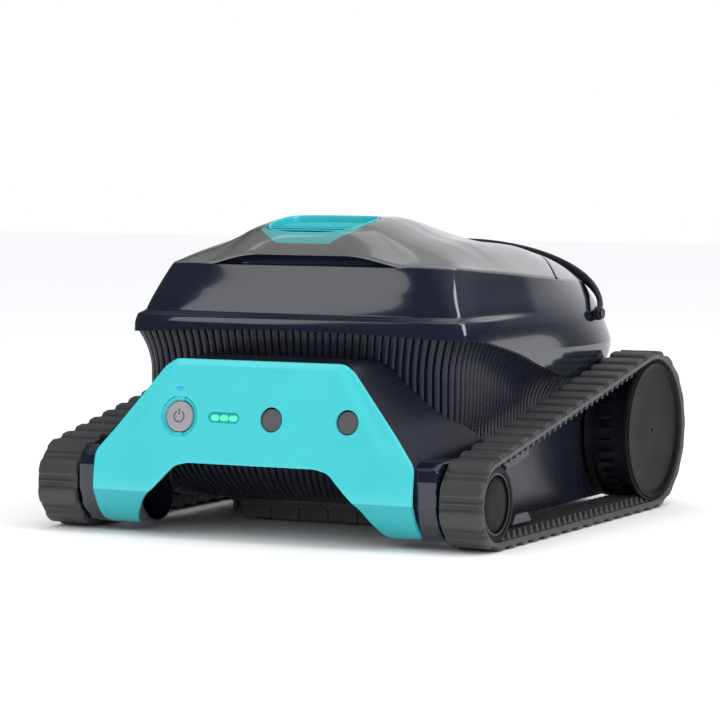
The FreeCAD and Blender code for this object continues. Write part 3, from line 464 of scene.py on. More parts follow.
def make_top():
    """Lid between the grille and its seams, and the rear cover behind the curved seam."""
    bx, by, bz, dx, dy, reach = top_setup()
    hole = window_reach(dx, dy)
    seam = rear_seam_reach(dx, dy, 0.0)
    cover_from = rear_seam_reach(dx, dy, 3.0)
    zone = np.clip(0.95 * (reach - hole), 4.0, 62.0)
    end = np.minimum(reach, seam)

    def ring(dist, drop=0.0):
        x, y = dx * dist, PUMP_Y + dy * dist
        z = top_height(x, y, reach - dist, bz, zone) - drop
        return np.stack([x, y, z], -1)

    share = np.linspace(0, 1, 70)
    share = share - 0.10 * np.sin(2 * math.pi * share) / (2 * math.pi)
    rows = [ring(hole + 2.4, 3.0), ring(hole, 3.0), ring(hole, 0.9), ring(hole + 0.5, 0.15)]
    rows += [ring(hole + 1.6 + (end - 1.2 - hole - 1.6) * t) for t in share]
    rows += [ring(end - 0.3, 0.5), ring(end, 1.3), ring(end - 0.6, 3.0)]
    pts = np.stack(rows, 1)
    piece("lid_dome", pts.reshape(-1, 3), grid_faces(AROUND, pts.shape[1], close_rows=True),
          M["lid"], "lid", ["lid"], sharp=50)

    keep = np.where(cover_from < reach - 1.5)[0]
    keep = np.sort(keep - AROUND * (keep > AROUND * 5 // 6))
    idx = keep % AROUND

    def strip(dist, drop=0.0):
        return ring(dist, drop)[idx]

    cover = [strip(cover_from - 0.3, 3.0), strip(cover_from, 1.2), strip(cover_from + 0.4, 0.3)]
    cover += [strip(cover_from + 1.2 + (reach - 1.4 - cover_from) * t)
              for t in np.linspace(0, 1, 26)]
    cover += [strip(reach, 0.8), strip(reach - 0.3, 2.2)]
    pts = np.stack(cover, 1)
    piece("cover_panel", pts.reshape(-1, 3), grid_faces(len(idx), pts.shape[1]),
          M["cover"], "chassis", ["rear_cover"], sharp=50)
    return hole, dx, dy


def lid_material():
    """Smoked clear plastic: the turquoise duct shows faintly through it in front of the grille."""
    mat = material("smoke_lid", (0.145, 0.148, 0.146), 0.2, coat=1.0, coat_rough=0.06,
                   rough_vary=0.03, mottle=0.05, bump=0.002, grain=300.0)
    tree = mat.node_tree
    axes = object_axes(mat)

    def math_node(kind, a, b=None):
        made = tree.nodes.new("ShaderNodeMath")
        made.operation = kind
        for k, value in enumerate((a, b)):
            if value is None:
                continue
            if isinstance(value, (int, float)):
                made.inputs[k].default_value = value
            else:
                tree.links.new(value, made.inputs[k])
        return made.outputs[0]

    def raised(value):
        return math_node("POWER", math_node("ABSOLUTE", value), WINDOW_POWER)

    u = math_node("DIVIDE", axes["X"], (WINDOW_A + 1.0) * MM)
    v = math_node("DIVIDE", math_node("SUBTRACT", axes["Y"], PUMP_Y * MM), (WINDOW_B + 1.0) * MM)
    far = math_node("POWER", math_node("ADD", raised(u), raised(v)), 1 / WINDOW_POWER)
    near = map_range(tree, far, 1.085, 1.10, (1.0, 0.0))
    front = map_range(tree, v, -0.45, -0.8)
    high = map_range(tree, axes["Z"], DUCT_LOW * MM, (DUCT_LOW + 1.2) * MM)
    show = math_node("MULTIPLY", math_node("MULTIPLY", near, front),
                     math_node("MULTIPLY", high, DUCT_SHOWS))
    tint(mat, show, (0.10, 0.50, 0.53))
    return mat


M["lid"] = lid_material()


def make_grille():
    """Turquoise rim, cross slats and the hollow under them."""
    turn = np.linspace(0, 2 * math.pi, 160, endpoint=False)
    dx, dy = np.cos(turn), np.sin(turn)
    edge = window_reach(dx, dy)
    parts = []
    rows = []
    for inset, drop in ((0.5, 3.0), (0.5, -0.2), (0.9, -0.7), (1.8, -0.7), (2.3, -0.2), (2.5, 1.4),
                        (2.6, 12.0)):
        x, y = dx * (edge - inset), PUMP_Y + dy * (edge - inset)
        rx, ry = dx * edge, PUMP_Y + dy * edge
        rows.append(np.stack([x, y, crest(rx, ry) - drop], -1))
    pts = np.stack(rows, 1)
    parts.append((pts, grid_faces(160, pts.shape[1], close_rows=True)))
    for i in range(9):
        y = PUMP_Y - 30.0 + 7.6 * i
        inside = np.abs((y - PUMP_Y) / (WINDOW_B - 2.6)) ** WINDOW_POWER
        if inside >= 1:
            continue
        half = (WINDOW_A - 2.2) * (1 - inside) ** (1 / WINDOW_POWER)
        xs = np.linspace(-half, half, 31)
        ring = [(-1.4, -2.3), (-1.7, -1.8), (-1.5, -1.2), (-0.8, -0.9), (0.6, -1.3), (1.3, -1.9),
                (1.3, -2.5), (0.0, -2.6)]
        sunk = 0.6 + 4.0 * (y - PUMP_Y + WINDOW_B) / (2 * WINDOW_B)
        bar = np.array([[(x, y + a, crest(x, y) + b - sunk) for a, b in ring] for x in xs])
        parts.append((bar, tube_faces(31, len(ring))))
    points, faces = merge(*parts)
    piece("grille_rim", points, faces, M["turquoise"], "lid", ["outlet_grille"],
          sharp=45)


# ---- ribbed tub -----------------------------------------------------------------------------
RIB_PITCH, GROOVE_DEEP, FLARE_HIGH = 6.75, 2.4, 36.0


def make_tub():
    """Lower hull whose wall is ribbed all round, flared out under the shell's rim."""
    table_z = (19.5, 21, 24, 30, 45, 60, 150, 170)
    half = (128, 143, 146.5, 149, 150, 151, 151, 151)
    front = (-70, -100, -116, -130, -144, -149, -150, -150)
    rear = (160, 184, 190, 196, 200, 202, 203, 203)

    def wall(alpha, z):
        a, f, b = (curve_through(table_z, t, z) for t in (half, front, rear))
        c, s = np.cos(alpha), np.sin(alpha)
        power = np.where(s < 0, 9.0, 6.0)
        reach = np.where(s < 0, CENTRE_Y - f, b - CENTRE_Y)
        r = (np.abs(c / a) ** power + np.abs(s / reach) ** power) ** (-1 / power)
        return r * c, CENTRE_Y + r * s

    fine = np.linspace(-math.pi / 2, math.pi / 2, 6001)
    fx, fy = wall(fine, np.full_like(fine, 100.0))
    arc = np.concatenate([[0], np.cumsum(np.hypot(np.diff(fx), np.diff(fy)))])
    ribs = int(round(arc[-1] / RIB_PITCH))
    phases = (0.0, 0.16, 0.3, 0.39, 0.45, 0.5, 0.55, 0.61, 0.7, 0.84)
    place = np.array([(k + p) / ribs * arc[-1] for k in range(ribs) for p in phases] + [arc[-1]])
    right = np.interp(place, arc, fine)
    alpha = np.concatenate([right, math.pi - right[-2:0:-1]])
    phase = np.concatenate([place, place[-2:0:-1]]) / arc[-1] * ribs % 1.0
    count = len(alpha)
    low = np.array([19.5, 20.2, 21, 22.5, 24, 27, 30, 35, 40, 46, 53, 60])
    rx, ry = skin(alpha, np.full(count, 165.0))
    top = rim_z(rx, ry) + 3.0
    share = np.concatenate([np.linspace(0, 0.6, 8)[1:], np.linspace(0.6, 1, 22)[1:]])
    z = np.concatenate([np.tile(low, (count, 1)), 60 + (top[:, None] - 60) * share[None, :]], 1)
    x, y = wall(alpha[:, None], z)
    ox, oy = skin(alpha[:, None], np.maximum(z, 100.0))
    flare = np.clip((z - (top[:, None] - FLARE_HIGH)) / (FLARE_HIGH - 2.0), 0, 1) ** 2.0
    ox, oy = push_in(ox, oy, np.full_like(ox, 3.4))
    x, y = x + (ox - x) * flare, y + (oy - y) * flare
    groove = np.exp(-((phase - 0.5) / 0.085) ** 2)[:, None]
    crown = (np.cos(2 * math.pi * phase)[:, None] * 0.5 - 0.5) * -0.7
    fade = smooth(20.0, 22.0, z)
    x, y = push_in(x, y, (GROOVE_DEEP * groove + crown) * fade, step=3)
    pts = np.stack([x, y, z], -1)
    rows = pts.shape[1]
    floor = pts[:, :1].copy()
    floor[..., 0] *= 0.5
    floor[..., 1] = CENTRE_Y + (floor[..., 1] - CENTRE_Y) * 0.5
    pts = np.concatenate([floor, pts], 1)
    faces = grid_faces(count, rows + 1, close_rows=True)
    piece("tub_ribs", pts.reshape(-1, 3), faces, M["rib"], "chassis", ["ribbed_tub"],
          sharp=70)


# ---- flat plates with rounded edges ---------------------------------------------------------
def offset_loop(loop, amount):
    """Closed (x, z) loop moved to its left by an amount."""
    p = np.asarray(loop, float)
    t = np.roll(p, -1, 0) - np.roll(p, 1, 0)
    n = np.stack([-t[:, 1], t[:, 0]], -1) / np.linalg.norm(t, axis=1)[:, None]
    return p + n * amount


def circle(at, radius, count=64, wide=0.0):
    """Circle, or a slot with round ends, as a closed loop."""
    turn = np.linspace(0, 2 * math.pi, count, endpoint=False)
    c, s = np.cos(turn), np.sin(turn)
    return np.stack([at[0] + radius * c + wide * np.sign(c), at[1] + radius * s], -1)


def inside_loop(points, loop):
    """Which (x, z) points lie inside a closed loop."""
    p, q = np.asarray(loop), np.roll(loop, -1, 0)
    x, z = points[:, 0][:, None], points[:, 1][:, None]
    cross = (p[:, 1] > z) != (q[:, 1] > z)
    at = p[:, 0] + (z - p[:, 1]) / (q[:, 1] - p[:, 1] + 1e-12) * (q[:, 0] - p[:, 0])
    return (np.sum(cross & (x < at), 1) % 2) == 1


def smooth_loop(corners, radius, step=2.0):
    """Closed loop through straight runs with rounded corners; radius may differ per corner."""
    pts = np.asarray(corners, float)
    radii = radius if hasattr(radius, "__len__") else [radius] * len(pts)
    out = []
    for i, (p, r) in enumerate(zip(pts, radii)):
        a, b = pts[i - 1] - p, pts[(i + 1) % len(pts)] - p
        la, lb = np.linalg.norm(a), np.linalg.norm(b)
        a, b = a / la, b / lb
        turn = math.acos(np.clip(a @ b, -1, 1))
        cut = min(r / math.tan(turn / 2), 0.49 * la, 0.49 * lb)
        start, stop = p + a * cut, p + b * cut
        n = max(4, int(cut * 2 / step))
        for t in np.linspace(0, 1, n):
            out.append((1 - t) ** 2 * start + 2 * t * (1 - t) * p + t * t * stop)
    dense = []
    for i, p in enumerate(out):
        q = out[(i + 1) % len(out)]
        gap = np.linalg.norm(q - p)
        if gap < 1e-6:
            continue
        n = max(1, int(gap / step))
        dense += [p + (q - p) * k / n for k in range(n)]
    return np.array(dense)


def plate(outline, holes, face_y, thick, edge, spacing, rows=()):
    """Plate facing -Y: dense front and back faces, rounded rims round the outline and holes."""
    loops = [np.asarray(outline)] + [np.asarray(h)[::-1] for h in holes]
    for k, lp in enumerate(loops):
        area = np.sum(lp[:, 0] * np.roll(lp[:, 1], -1) - np.roll(lp[:, 0], -1) * lp[:, 1])
        if area < 0 if k == 0 else area > 0:
            loops[k] = lp[::-1]
    inner = [offset_loop(lp, edge) for lp in loops]
    flat = np.concatenate(inner)
    edges, base = [], 0
    for lp in inner:
        n = len(lp)
        edges += [(base + i, base + (i + 1) % n) for i in range(n)]
        base += n
    lo, hi = loops[0].min(0), loops[0].max(0)
    gx, gz = np.meshgrid(np.arange(lo[0], hi[0], spacing), np.arange(lo[1], hi[1], spacing))
    gx[::2] += spacing / 2
    extra = [np.stack([gx.ravel(), gz.ravel()], -1)]
    along = np.arange(lo[0], hi[0], spacing)
    extra += [np.stack([along, np.full(len(along), z)], -1) for z in rows]
    grid = np.concatenate(extra)
    room = offset_loop(inner[0], spacing * 0.5)
    keep = inside_loop(grid, room)
    for lp in inner[1:]:
        keep &= ~inside_loop(grid, offset_loop(lp, spacing * 0.5))
    grid = grid[keep]
    verts = [Vector(p) for p in np.concatenate([flat, grid])]
    out_v, _, out_f, *_ = delaunay_2d_cdt(verts, edges, [], 1, 1e-5)
    vv = np.array([tuple(v) for v in out_v])
    faces = []
    for f in out_f:
        mid = vv[list(f)].mean(0)[None]
        if inside_loop(mid, inner[0])[0] and not any(inside_loop(mid, lp)[0] for lp in inner[1:]):
            faces.append(tuple(f))
    points = [(x, face_y(x, z), z) for x, z in vv]
    count = len(points)
    points += [(x, face_y(x, z) + thick, z) for x, z in vv]
    faces += [tuple(count + i for i in reversed(f)) for f in faces]
    for lp in loops:
        rows_of = []
        for move, deep in ((edge, 0.0), (edge * 0.4, edge * 0.2), (0.0, edge),
                           (0.0, thick - edge * 0.5), (edge, thick)):
            p = offset_loop(lp, move)
            rows_of.append([(x, face_y(x, z) + deep, z) for x, z in p])
        ring = np.array(rows_of).transpose(1, 0, 2)
        start = len(points)
        points += [tuple(p) for p in ring.reshape(-1, 3)]
        faces += grid_faces(len(lp), 5, close_rows=True, start=start)
    return points, faces


def weld(obj, dist=0.00002):
    """Join points that lie on each other."""
    work = bmesh.new()
    work.from_mesh(obj.data)
    bmesh.ops.remove_doubles(work, verts=work.verts, dist=dist)
    bmesh.ops.recalc_face_normals(work, faces=work.faces)
    work.to_mesh(obj.data)
    work.free()
    obj.data.shade_smooth()
    obj.data.set_sharp_from_angle(angle=math.radians(40))
    return obj


# ---- front panel ----------------------------------------------------------------------------
PANEL_LEAN, CREASE_Z, BEND_Z = 0.1634, 38.0, 56.0
PANEL_THICK, PANEL_EDGE, PANEL_TOP = 3.2, 0.8, 149.4
PANEL_Y0 = -225.5 - PANEL_LEAN * CREASE_Z
BUTTON_AT, BUTTON_R, BEZEL_R = (-70.9, 101.6), 13.0, 16.8
LED_AT, LINK_AT = (-28.3, 101.8), (-71.8, 124.5)
CAPS_AT, CAP_R = ((16.6, 101.9), (87.2, 102.5)), 10.0
LEAN = math.atan(PANEL_LEAN)

# Path of the rolled foot: how far it has turned and moved at each length down from the crease.
FOOT_DROP = np.linspace(0.0, 48.0, 97)
FOOT_TURN = np.radians(24.0 + 60.0 * (FOOT_DROP / 45.0) ** 2)
FOOT_Z = -np.concatenate([[0], np.cumsum((np.cos(FOOT_TURN[1:]) + np.cos(FOOT_TURN[:-1])) / 4)])
FOOT_Y = np.concatenate([[0], np.cumsum((np.sin(FOOT_TURN[1:]) + np.sin(FOOT_TURN[:-1])) / 4)])


def painted_foot_shade(mat):
    """Painted shade: below the crease the panel is coloured a deeper teal, standing in for the
    shade the turned-under foot is in.
    """
    # mask below the crease where painted shade is laid
    low = map_range(mat.node_tree, object_axes(mat)["Z"], (CREASE_Z + 0.3) * MM,
                    (CREASE_Z - 0.9) * MM)
    # deeper teal here is painted shade on the foot, not the plastic's own colour
    tint(mat, low, (0.012, 0.430, 0.470))


def panel_plane(z):
    """Front plane of the panel, upright in its lowest part."""
    if z >= BEND_Z:
        return PANEL_Y0 + PANEL_LEAN * z
    t = min(1.0, (BEND_Z - z) / (BEND_Z - CREASE_Z))
    return PANEL_Y0 + PANEL_LEAN * (BEND_Z - (BEND_Z - CREASE_Z) * (t - 0.5 * t * t))


def fold_foot(points, deep):
    """Panel drawn upright: below the crease it is rolled back and under, keeping its length."""
    out = []
    for x, y, z in points:
        if z < CREASE_Z:
            at = CREASE_Z - z
            turn = np.interp(at, FOOT_DROP, FOOT_TURN)
            base_y = panel_plane(CREASE_Z) + np.interp(at, FOOT_DROP, FOOT_Y)
            base_z = CREASE_Z + np.interp(at, FOOT_DROP, FOOT_Z)
            inward = y - deep(x, z)
            y, z = base_y + inward * math.cos(turn), base_z + inward * math.sin(turn)
        out.append((x, y, z))
    return out


def panel_face(x, z):
    """Front of the panel: leaning face, turned-back foot, edges that fall away on the slants."""
    y = panel_plane(z)
    if z < CREASE_Z:
        return panel_plane(CREASE_Z)
    across, up = abs(x) - 84.0, z - 146.5  # from a point on the slanted edge
    from_slant = -(across * 0.835 + up * 0.55)
    slant = float(smooth(9.0, 0.5, from_slant)) * float(smooth(70.0, 95.0, z))
    from_top = PANEL_TOP - z
    top = float(smooth(5.5, 0.3, from_top))
    return y + 2.6 * max(slant, 0.7 * top)


def on_panel(points, at):
    """Points drawn round the origin of the plane y = 0, moved to the leaning panel."""
    p = np.asarray(points, float).reshape(-1, 3)
    c, s = math.cos(LEAN), math.sin(LEAN)
    x, y, z = p[:, 0], p[:, 1], p[:, 2]
    return np.stack([x + at[0], y * c + z * s + panel_plane(at[1]), -y * s + z * c + at[1]], -1)


def drawn(loop, depth):
    """Closed (x, z) loop as points at one depth."""
    return np.stack([loop[:, 0], np.full(len(loop), depth), loop[:, 1]], -1)


def dish(profile, count=64):
    """Turned form about an axis along Y; profile is (radius, y) points."""
    turn = np.linspace(0, 2 * math.pi, count, endpoint=False)
    pts = [[(r * math.cos(t), y, r * math.sin(t)) for r, y in profile] for t in turn]
    return np.array(pts).reshape(-1, 3), grid_faces(count, len(profile), close_rows=True)


def make_panel():
    """Teal cover, power button, lights and caps."""
    # lay painted shade on the foot below the crease
    painted_foot_shade(M["teal"])
    # right half of the outline, from the arch to the top edge
    half = [(60.0, 63.4), (72.5, 60.5), (88.0, 45.0), (103.0, 30.5), (113.0, 12.0), (121.0, -8.0),
            (143.5, -8.0), (150.2, 3.0), (150.2, 38.0), (150.0, 69.0), (89.0, 142.5),
            (79.0, PANEL_TOP)]
    radii = [10, 14, 40, 30, 24, 5, 10, 14, 30, 16, 14, 14]
    corners = half + [(-x, z) for x, z in reversed(half)]
    outline = smooth_loop(corners, radii + radii[::-1], 2.2)
    holes = [circle(BUTTON_AT, BEZEL_R + 0.1, 72), circle(LED_AT, 4.3, 48, wide=10.3),
             circle(LINK_AT, 1.6, 24, wide=1.6)]
    holes += [circle(at, CAP_R + 0.3, 56) for at in CAPS_AT]
    points, faces = plate(outline, holes, panel_face, PANEL_THICK, PANEL_EDGE, 2.4,
                          rows=(CREASE_Z - 0.9, CREASE_Z, CREASE_Z + 0.9))
    points = fold_foot(points, panel_face)
    weld(piece("panel_cover", points, faces, M["teal"], "chassis", ["front_panel"]))

    ring = [(BEZEL_R, 3.2), (BEZEL_R, 0.4), (16.4, 0.25), (15.9, 0.7), (14.4, 2.0), (13.7, 2.4),
            (13.5, 3.4), (13.5, 6.0)]
    pts, fcs = dish(ring, 72)
    parts = [(on_panel(pts, BUTTON_AT), fcs)]
    for up in (-1, 1):
        profile = ((-2.0, 1.5), (-1.2, 0.7), (1.4, 0.05), (2.6, 0.35), (2.9, 1.6))
        notch = np.array([[(x, d, up * (15.2 + r)) for r, d in profile]
                          for x in np.linspace(-4.2, 4.2, 9)])
        parts.append((on_panel(notch.reshape(-1, 3), BUTTON_AT), grid_faces(9, 5)))
    points, faces = merge(*parts)
    piece("button_bezel", points, faces, M["turquoise"], "chassis", ["button_housing"])

    cap = [(0.01, 0.25), (4.0, 0.27), (9.0, 0.4), (11.4, 0.65), (12.5, 1.2), (BUTTON_R, 2.2),
           (BUTTON_R, 3.4), (3.0, 3.4), (3.0, 9.0), (0.01, 9.0)]
    pts, fcs = dish(cap, 72)
    piece("button_cap", on_panel(pts, BUTTON_AT), fcs, M["button"], "power_button",
          ["power_button"])
    arc = np.linspace(math.radians(120), math.radians(420), 40)
    mark = np.array([[(r * math.cos(t), d, r * math.sin(t)) for r, d in
                      ((4.3, 0.35), (4.3, 0.12), (5.1, 0.12), (5.1, 0.35))] for t in arc])
    bar = np.array([[(-0.42, d, z), (0.42, d, z)]
                    for z, d in ((1.2, 0.35), (1.2, 0.1), (6.4, 0.1), (6.4, 0.35))])
    points, faces = merge((mark, grid_faces(40, 4)), (bar, grid_faces(4, 2)))
    piece("button_mark", on_panel(points, BUTTON_AT), faces, M["symbol"], "power_button")

    for k, at in enumerate(CAPS_AT):
        pts, fcs = dish([(0.01, 1.7), (7.0, 1.75), (8.9, 1.9), (9.5, 2.4), (9.6, 3.4)], 56)
        piece(f"panel_cap_{k}", on_panel(pts, at), fcs, M["cap"], "chassis",
              ["panel_caps"] if k == 0 else ())

    loops = [circle((0, 0), r, 48, wide=10.2) for r in (4.2, 4.2, 3.6, 2.0)]
    deep = (2.8, 0.9, 1.6, 1.7)
    lens = np.stack([drawn(lp, d) for lp, d in zip(loops, deep)], 1)
    piece("light_window", on_panel(lens, LED_AT), capped_faces(48, 4), M["slot"], "chassis",
          ["indicator_lenses"])
    for k in (-1, 0, 1):
        lamp = np.stack([drawn(circle((8.6 * k, 0), grow, 32, wide=1.5), d)
                         for grow, d in ((2.5, 1.6), (2.2, 1.0), (1.2, 0.85))], 1)
        piece(f"charge_light_{k + 2}", on_panel(lamp, LED_AT), capped_faces(32, 3), M["green"],
              "chassis")
    lamp = np.stack([drawn(circle((0, 0), grow, 24, wide=1.6), d)
                     for grow, d in ((1.5, 2.4), (1.5, 0.5), (1.1, 0.2), (0.5, 0.15))], 1)
    piece("link_light", on_panel(lamp, LINK_AT), capped_faces(24, 4), M["blue"], "chassis")


# ---- shoulder and pods ----------------------------------------------------------------------
def make_shoulder():
    """Smooth fairing from the panel's slanted edges back to the ribbed wall and over the pods."""
    edge = np.array([(0, 147.0), (40, 147.0), (70, 147.0), (80, 145.0), (88, 139.5), (98, 127.5),
                     (110, 113.0), (122, 98.5), (134, 84.0), (143, 73.5), (147, 66.0), (148, 52)])
    wall = np.array([(0, -148, 150.0), (40, -148, 150.0), (74, -148, 149.0), (86, -148, 148.0),
                     (94, -148, 144.0), (104, -148, 135.0), (115, -147, 125.0), (127, -144, 115.0),
                     (138, -138, 106.0), (148, -126, 97.0), (164, -112, 80.0), (166, -112, 60.0)])
    t_edge = np.linspace(0, 1, len(edge))
    t = np.linspace(0, 1, 60)
    ex = curve_through(t_edge, edge[:, 0], t)
    ez = curve_through(t_edge, edge[:, 1], t)
    wx, wy, wz = (curve_through(t_edge, wall[:, k], t) for k in range(3))
    rows = []
    for share in np.linspace(0, 1, 26):
        bulge = 2.2 * math.sin(math.pi * share)
        x = ex + (wx - ex) * share**1.25
        y0 = PANEL_Y0 + PANEL_LEAN * ez + 3.4
        y = y0 + (wy - y0) * share
        z = ez + (wz - ez) * share + bulge
        rows.append(np.stack([x, y, z], -1))
    right = np.stack(rows, 1)
    left = flip_x(right).reshape(right.shape)
    points, faces = merge((right, grid_faces(60, 26)), (left, grid_faces(60, 26)))
    weld(piece("shoulder_fairing", points, faces, M["fairing"], "chassis",
               ["front_frame"]))


def make_pods():
    """Rounded box inboard of each front wheel: upright face, bevelled top edge, rolled foot."""
    corners = [(-156.0, 73.0), (-203.0, 72.4), (-213.6, 67.0), (-216.4, 58.0), (-216.6, 36.0),
               (-210.0, 19.0), (-198.0, 8.0), (-182.0, 4.4), (-166.0, 9.0), (-156.0, 18.0)]
    radii = [2, 5, 3, 6, 14, 18, 16, 14, 10, 4]
    loop = smooth_loop(corners, radii, 1.6)
    middle = loop.mean(0)
    spans = [(110.0, 0.90), (111.0, 0.955), (113.0, 0.985), (118.0, 0.995), (140.0, 1.0),
             (162.0, 1.0), (166.6, 1.0), (167.8, 0.988), (168.4, 0.965), (168.4, 0.4)]
    for word, side in SIDES:
        pts = [[(side * x, *(middle + (p - middle) * k)) for x, k in spans] for p in loop]
        piece(f"pod_{word}", np.array(pts).reshape(-1, 3),
              grid_faces(len(loop), len(spans), close_rows=True), M["shell"],
              "chassis", [f"side_pod_{word}"], sharp=30)


# ---- belts ----------------------------------------------------------------------------------
FRONT_Y, FRONT_R, REAR_Y, REAR_R = -180.5, 38.4, 154.5, 71.0  # wheel hubs and belt radii
LUG_OUT, BAND_OUT, BAND_IN, TOOTH_IN = 5.4, 2.0, 1.7, 8.0
PITCH_REAR, PITCH_FRONT = REAR_R - LUG_OUT, FRONT_R - LUG_OUT
CENTRES = math.hypot(REAR_Y - FRONT_Y, REAR_R - FRONT_R)
SLOPE = math.asin((PITCH_REAR - PITCH_FRONT) / CENTRES)
STRAIGHT = CENTRES * math.cos(SLOPE)
TILT = math.atan2(REAR_R - FRONT_R, REAR_Y - FRONT_Y)
REAR_ARC, FRONT_ARC = PITCH_REAR * (math.pi + 2 * SLOPE), PITCH_FRONT * (math.pi - 2 * SLOPE)
LOOP = REAR_ARC + FRONT_ARC + 2 * STRAIGHT
LUGS, LUG_HALF, LUG_ROUND, LUG_CROWN = 43, 7.1, 3.6, 0.35
BELT_X0, BELT_X1 = 171.0, 210.0


def belt_path(s, out):
    """Point (y, z) at length s of the belt, moved outwards from its pitch line."""
    s = s % LOOP
    start = math.pi / 2 + SLOPE
    if s < REAR_ARC:
        a, r = start + TILT - s / PITCH_REAR, PITCH_REAR + out
        return REAR_Y + r * math.cos(a), REAR_R + r * math.sin(a)
    s -= REAR_ARC
    if s < STRAIGHT:
        a, r, y, z = -start + TILT, PITCH_REAR + out, REAR_Y, REAR_R
    elif s < STRAIGHT + FRONT_ARC:
        a, r = -start + TILT - (s - STRAIGHT) / PITCH_FRONT, PITCH_FRONT + out
        return FRONT_Y + r * math.cos(a), FRONT_R + r * math.sin(a)
    else:
        s -= STRAIGHT + FRONT_ARC
        a, r, y, z = start + TILT, PITCH_FRONT + out, FRONT_Y, FRONT_R
    return (y + r * math.cos(a) + s * math.sin(a), z + r * math.sin(a) - s * math.cos(a))


def make_belts():
    """Rubber loop: wide rounded lugs with a low rib between them outside, teeth inside."""
    per_lug = 30
    pitch = LOOP / LUGS
    across = [BELT_X0, 171.5, 172.3, 173.3, 174.5, 176.5, 181, 187, 193, 199, 203.5, 205.8, 207.2,
              208.3, 209.2, 209.7, BELT_X1]
    under = [208.6, 206.0, 204.6, 204.2, 203.0, 199, 192, 184, 177, 174.0, 172.8, 172.4]
    middle, half_wide = (BELT_X0 + BELT_X1) / 2, (BELT_X1 - BELT_X0) / 2
    rings = []
    for i in range(LUGS * per_lug):
        s = i * pitch / per_lug
        local = (s / pitch + 0.5) % 1.0 * pitch - pitch / 2
        ring = []
        for x in across:
            qx = abs(x - middle) - (half_wide - 0.2 - LUG_ROUND)
            qs = abs(local) - (LUG_HALF - LUG_ROUND)
            dist = math.hypot(max(qx, 0), max(qs, 0)) + min(max(qx, qs), 0) - LUG_ROUND
            lug = float(smooth(0.9, -1.3, dist))
            rib_at = abs(abs(local) - pitch / 2)
            rib = float(smooth(1.9, 0.9, rib_at) * smooth(half_wide - 0.4, half_wide - 2.0,
                                                          abs(x - middle)))
            crown = LUG_CROWN * (1 - (local / LUG_HALF) ** 2) if abs(local) < LUG_HALF else 0.0
            high = BAND_OUT + (LUG_OUT - LUG_CROWN + crown - BAND_OUT) * lug + 1.5 * rib
            ring.append((x, *belt_path(s, high)))
        tooth = (s / (pitch / 2) + 0.5) % 1.0 * pitch / 2 - pitch / 4
        deep = float(smooth(2.7, 1.5, abs(tooth)))
        for x in under:
            edge = float(smooth(205.2, 204.2, x)) * float(smooth(172.3, 172.9, x))
            ring.append((x, *belt_path(s, -BAND_IN - (TOOTH_IN - BAND_IN) * deep * edge)))
        rings.append(ring)
    pts = np.array(rings)
    faces = grid_faces(len(rings), pts.shape[1], close_rows=True, close_cols=True)
    for word, side in SIDES:
        piece(f"belt_{word}", on_side(pts, side), faces, M["belt"], "chassis",
              [f"track_belt_{word}"], sharp=50)


def make_wheels():
    """Faces of the wheels: rear disc, front cap and the rim round the cap."""
    disc = [(199.0, 0.01), (199.0, 1.5), (205.2, 1.5), (205.5, 1.9), (205.5, 30.0),
            (205.6, 54.0), (205.9, 56.5), (206.8, 57.8), (207.6, 58.6), (207.8, 59.4),
            (207.5, 60.2), (206.6, 60.8), (206.1, 61.6), (206.2, 62.6), (206.0, 63.2),
            (205.0, 63.5), (203.0, 63.5), (202.8, 20.0)]
    cap = [(205.2, 0.01), (205.2, 12.0), (205.0, 19.5), (204.6, 22.0), (203.8, 23.0)]
    rim = [(203.6, 23.2), (203.7, 24.2), (205.0, 24.8), (206.2, 25.6), (206.6, 26.8),
           (206.8, 29.0), (206.6, 30.4), (205.8, 31.1), (203.0, 31.1), (202.6, 26.0),
           (176.0, 24.0), (174.0, 10.0)]
    rear, front = (REAR_Y, REAR_R), (FRONT_Y, FRONT_R)
    for word, side in SIDES:
        for name, profile, hub, slot, body, node in (
                ("disc", disc, rear, "wheel_grey", "drive_wheel", "wheel_disc"),
                ("cap", cap, front, "wheel_grey", "idler_wheel", "idler_cap"),
                ("front_rim", rim, front, "wheel_navy", "idler_wheel", None)):
            points, faces = lathe(profile, *hub, 128)
            piece(f"{name}_{word}", on_side(points, side), faces, M["disc"], f"{body}_{word}",
                  [f"{node}_{word}"] if node else (), sharp=32)


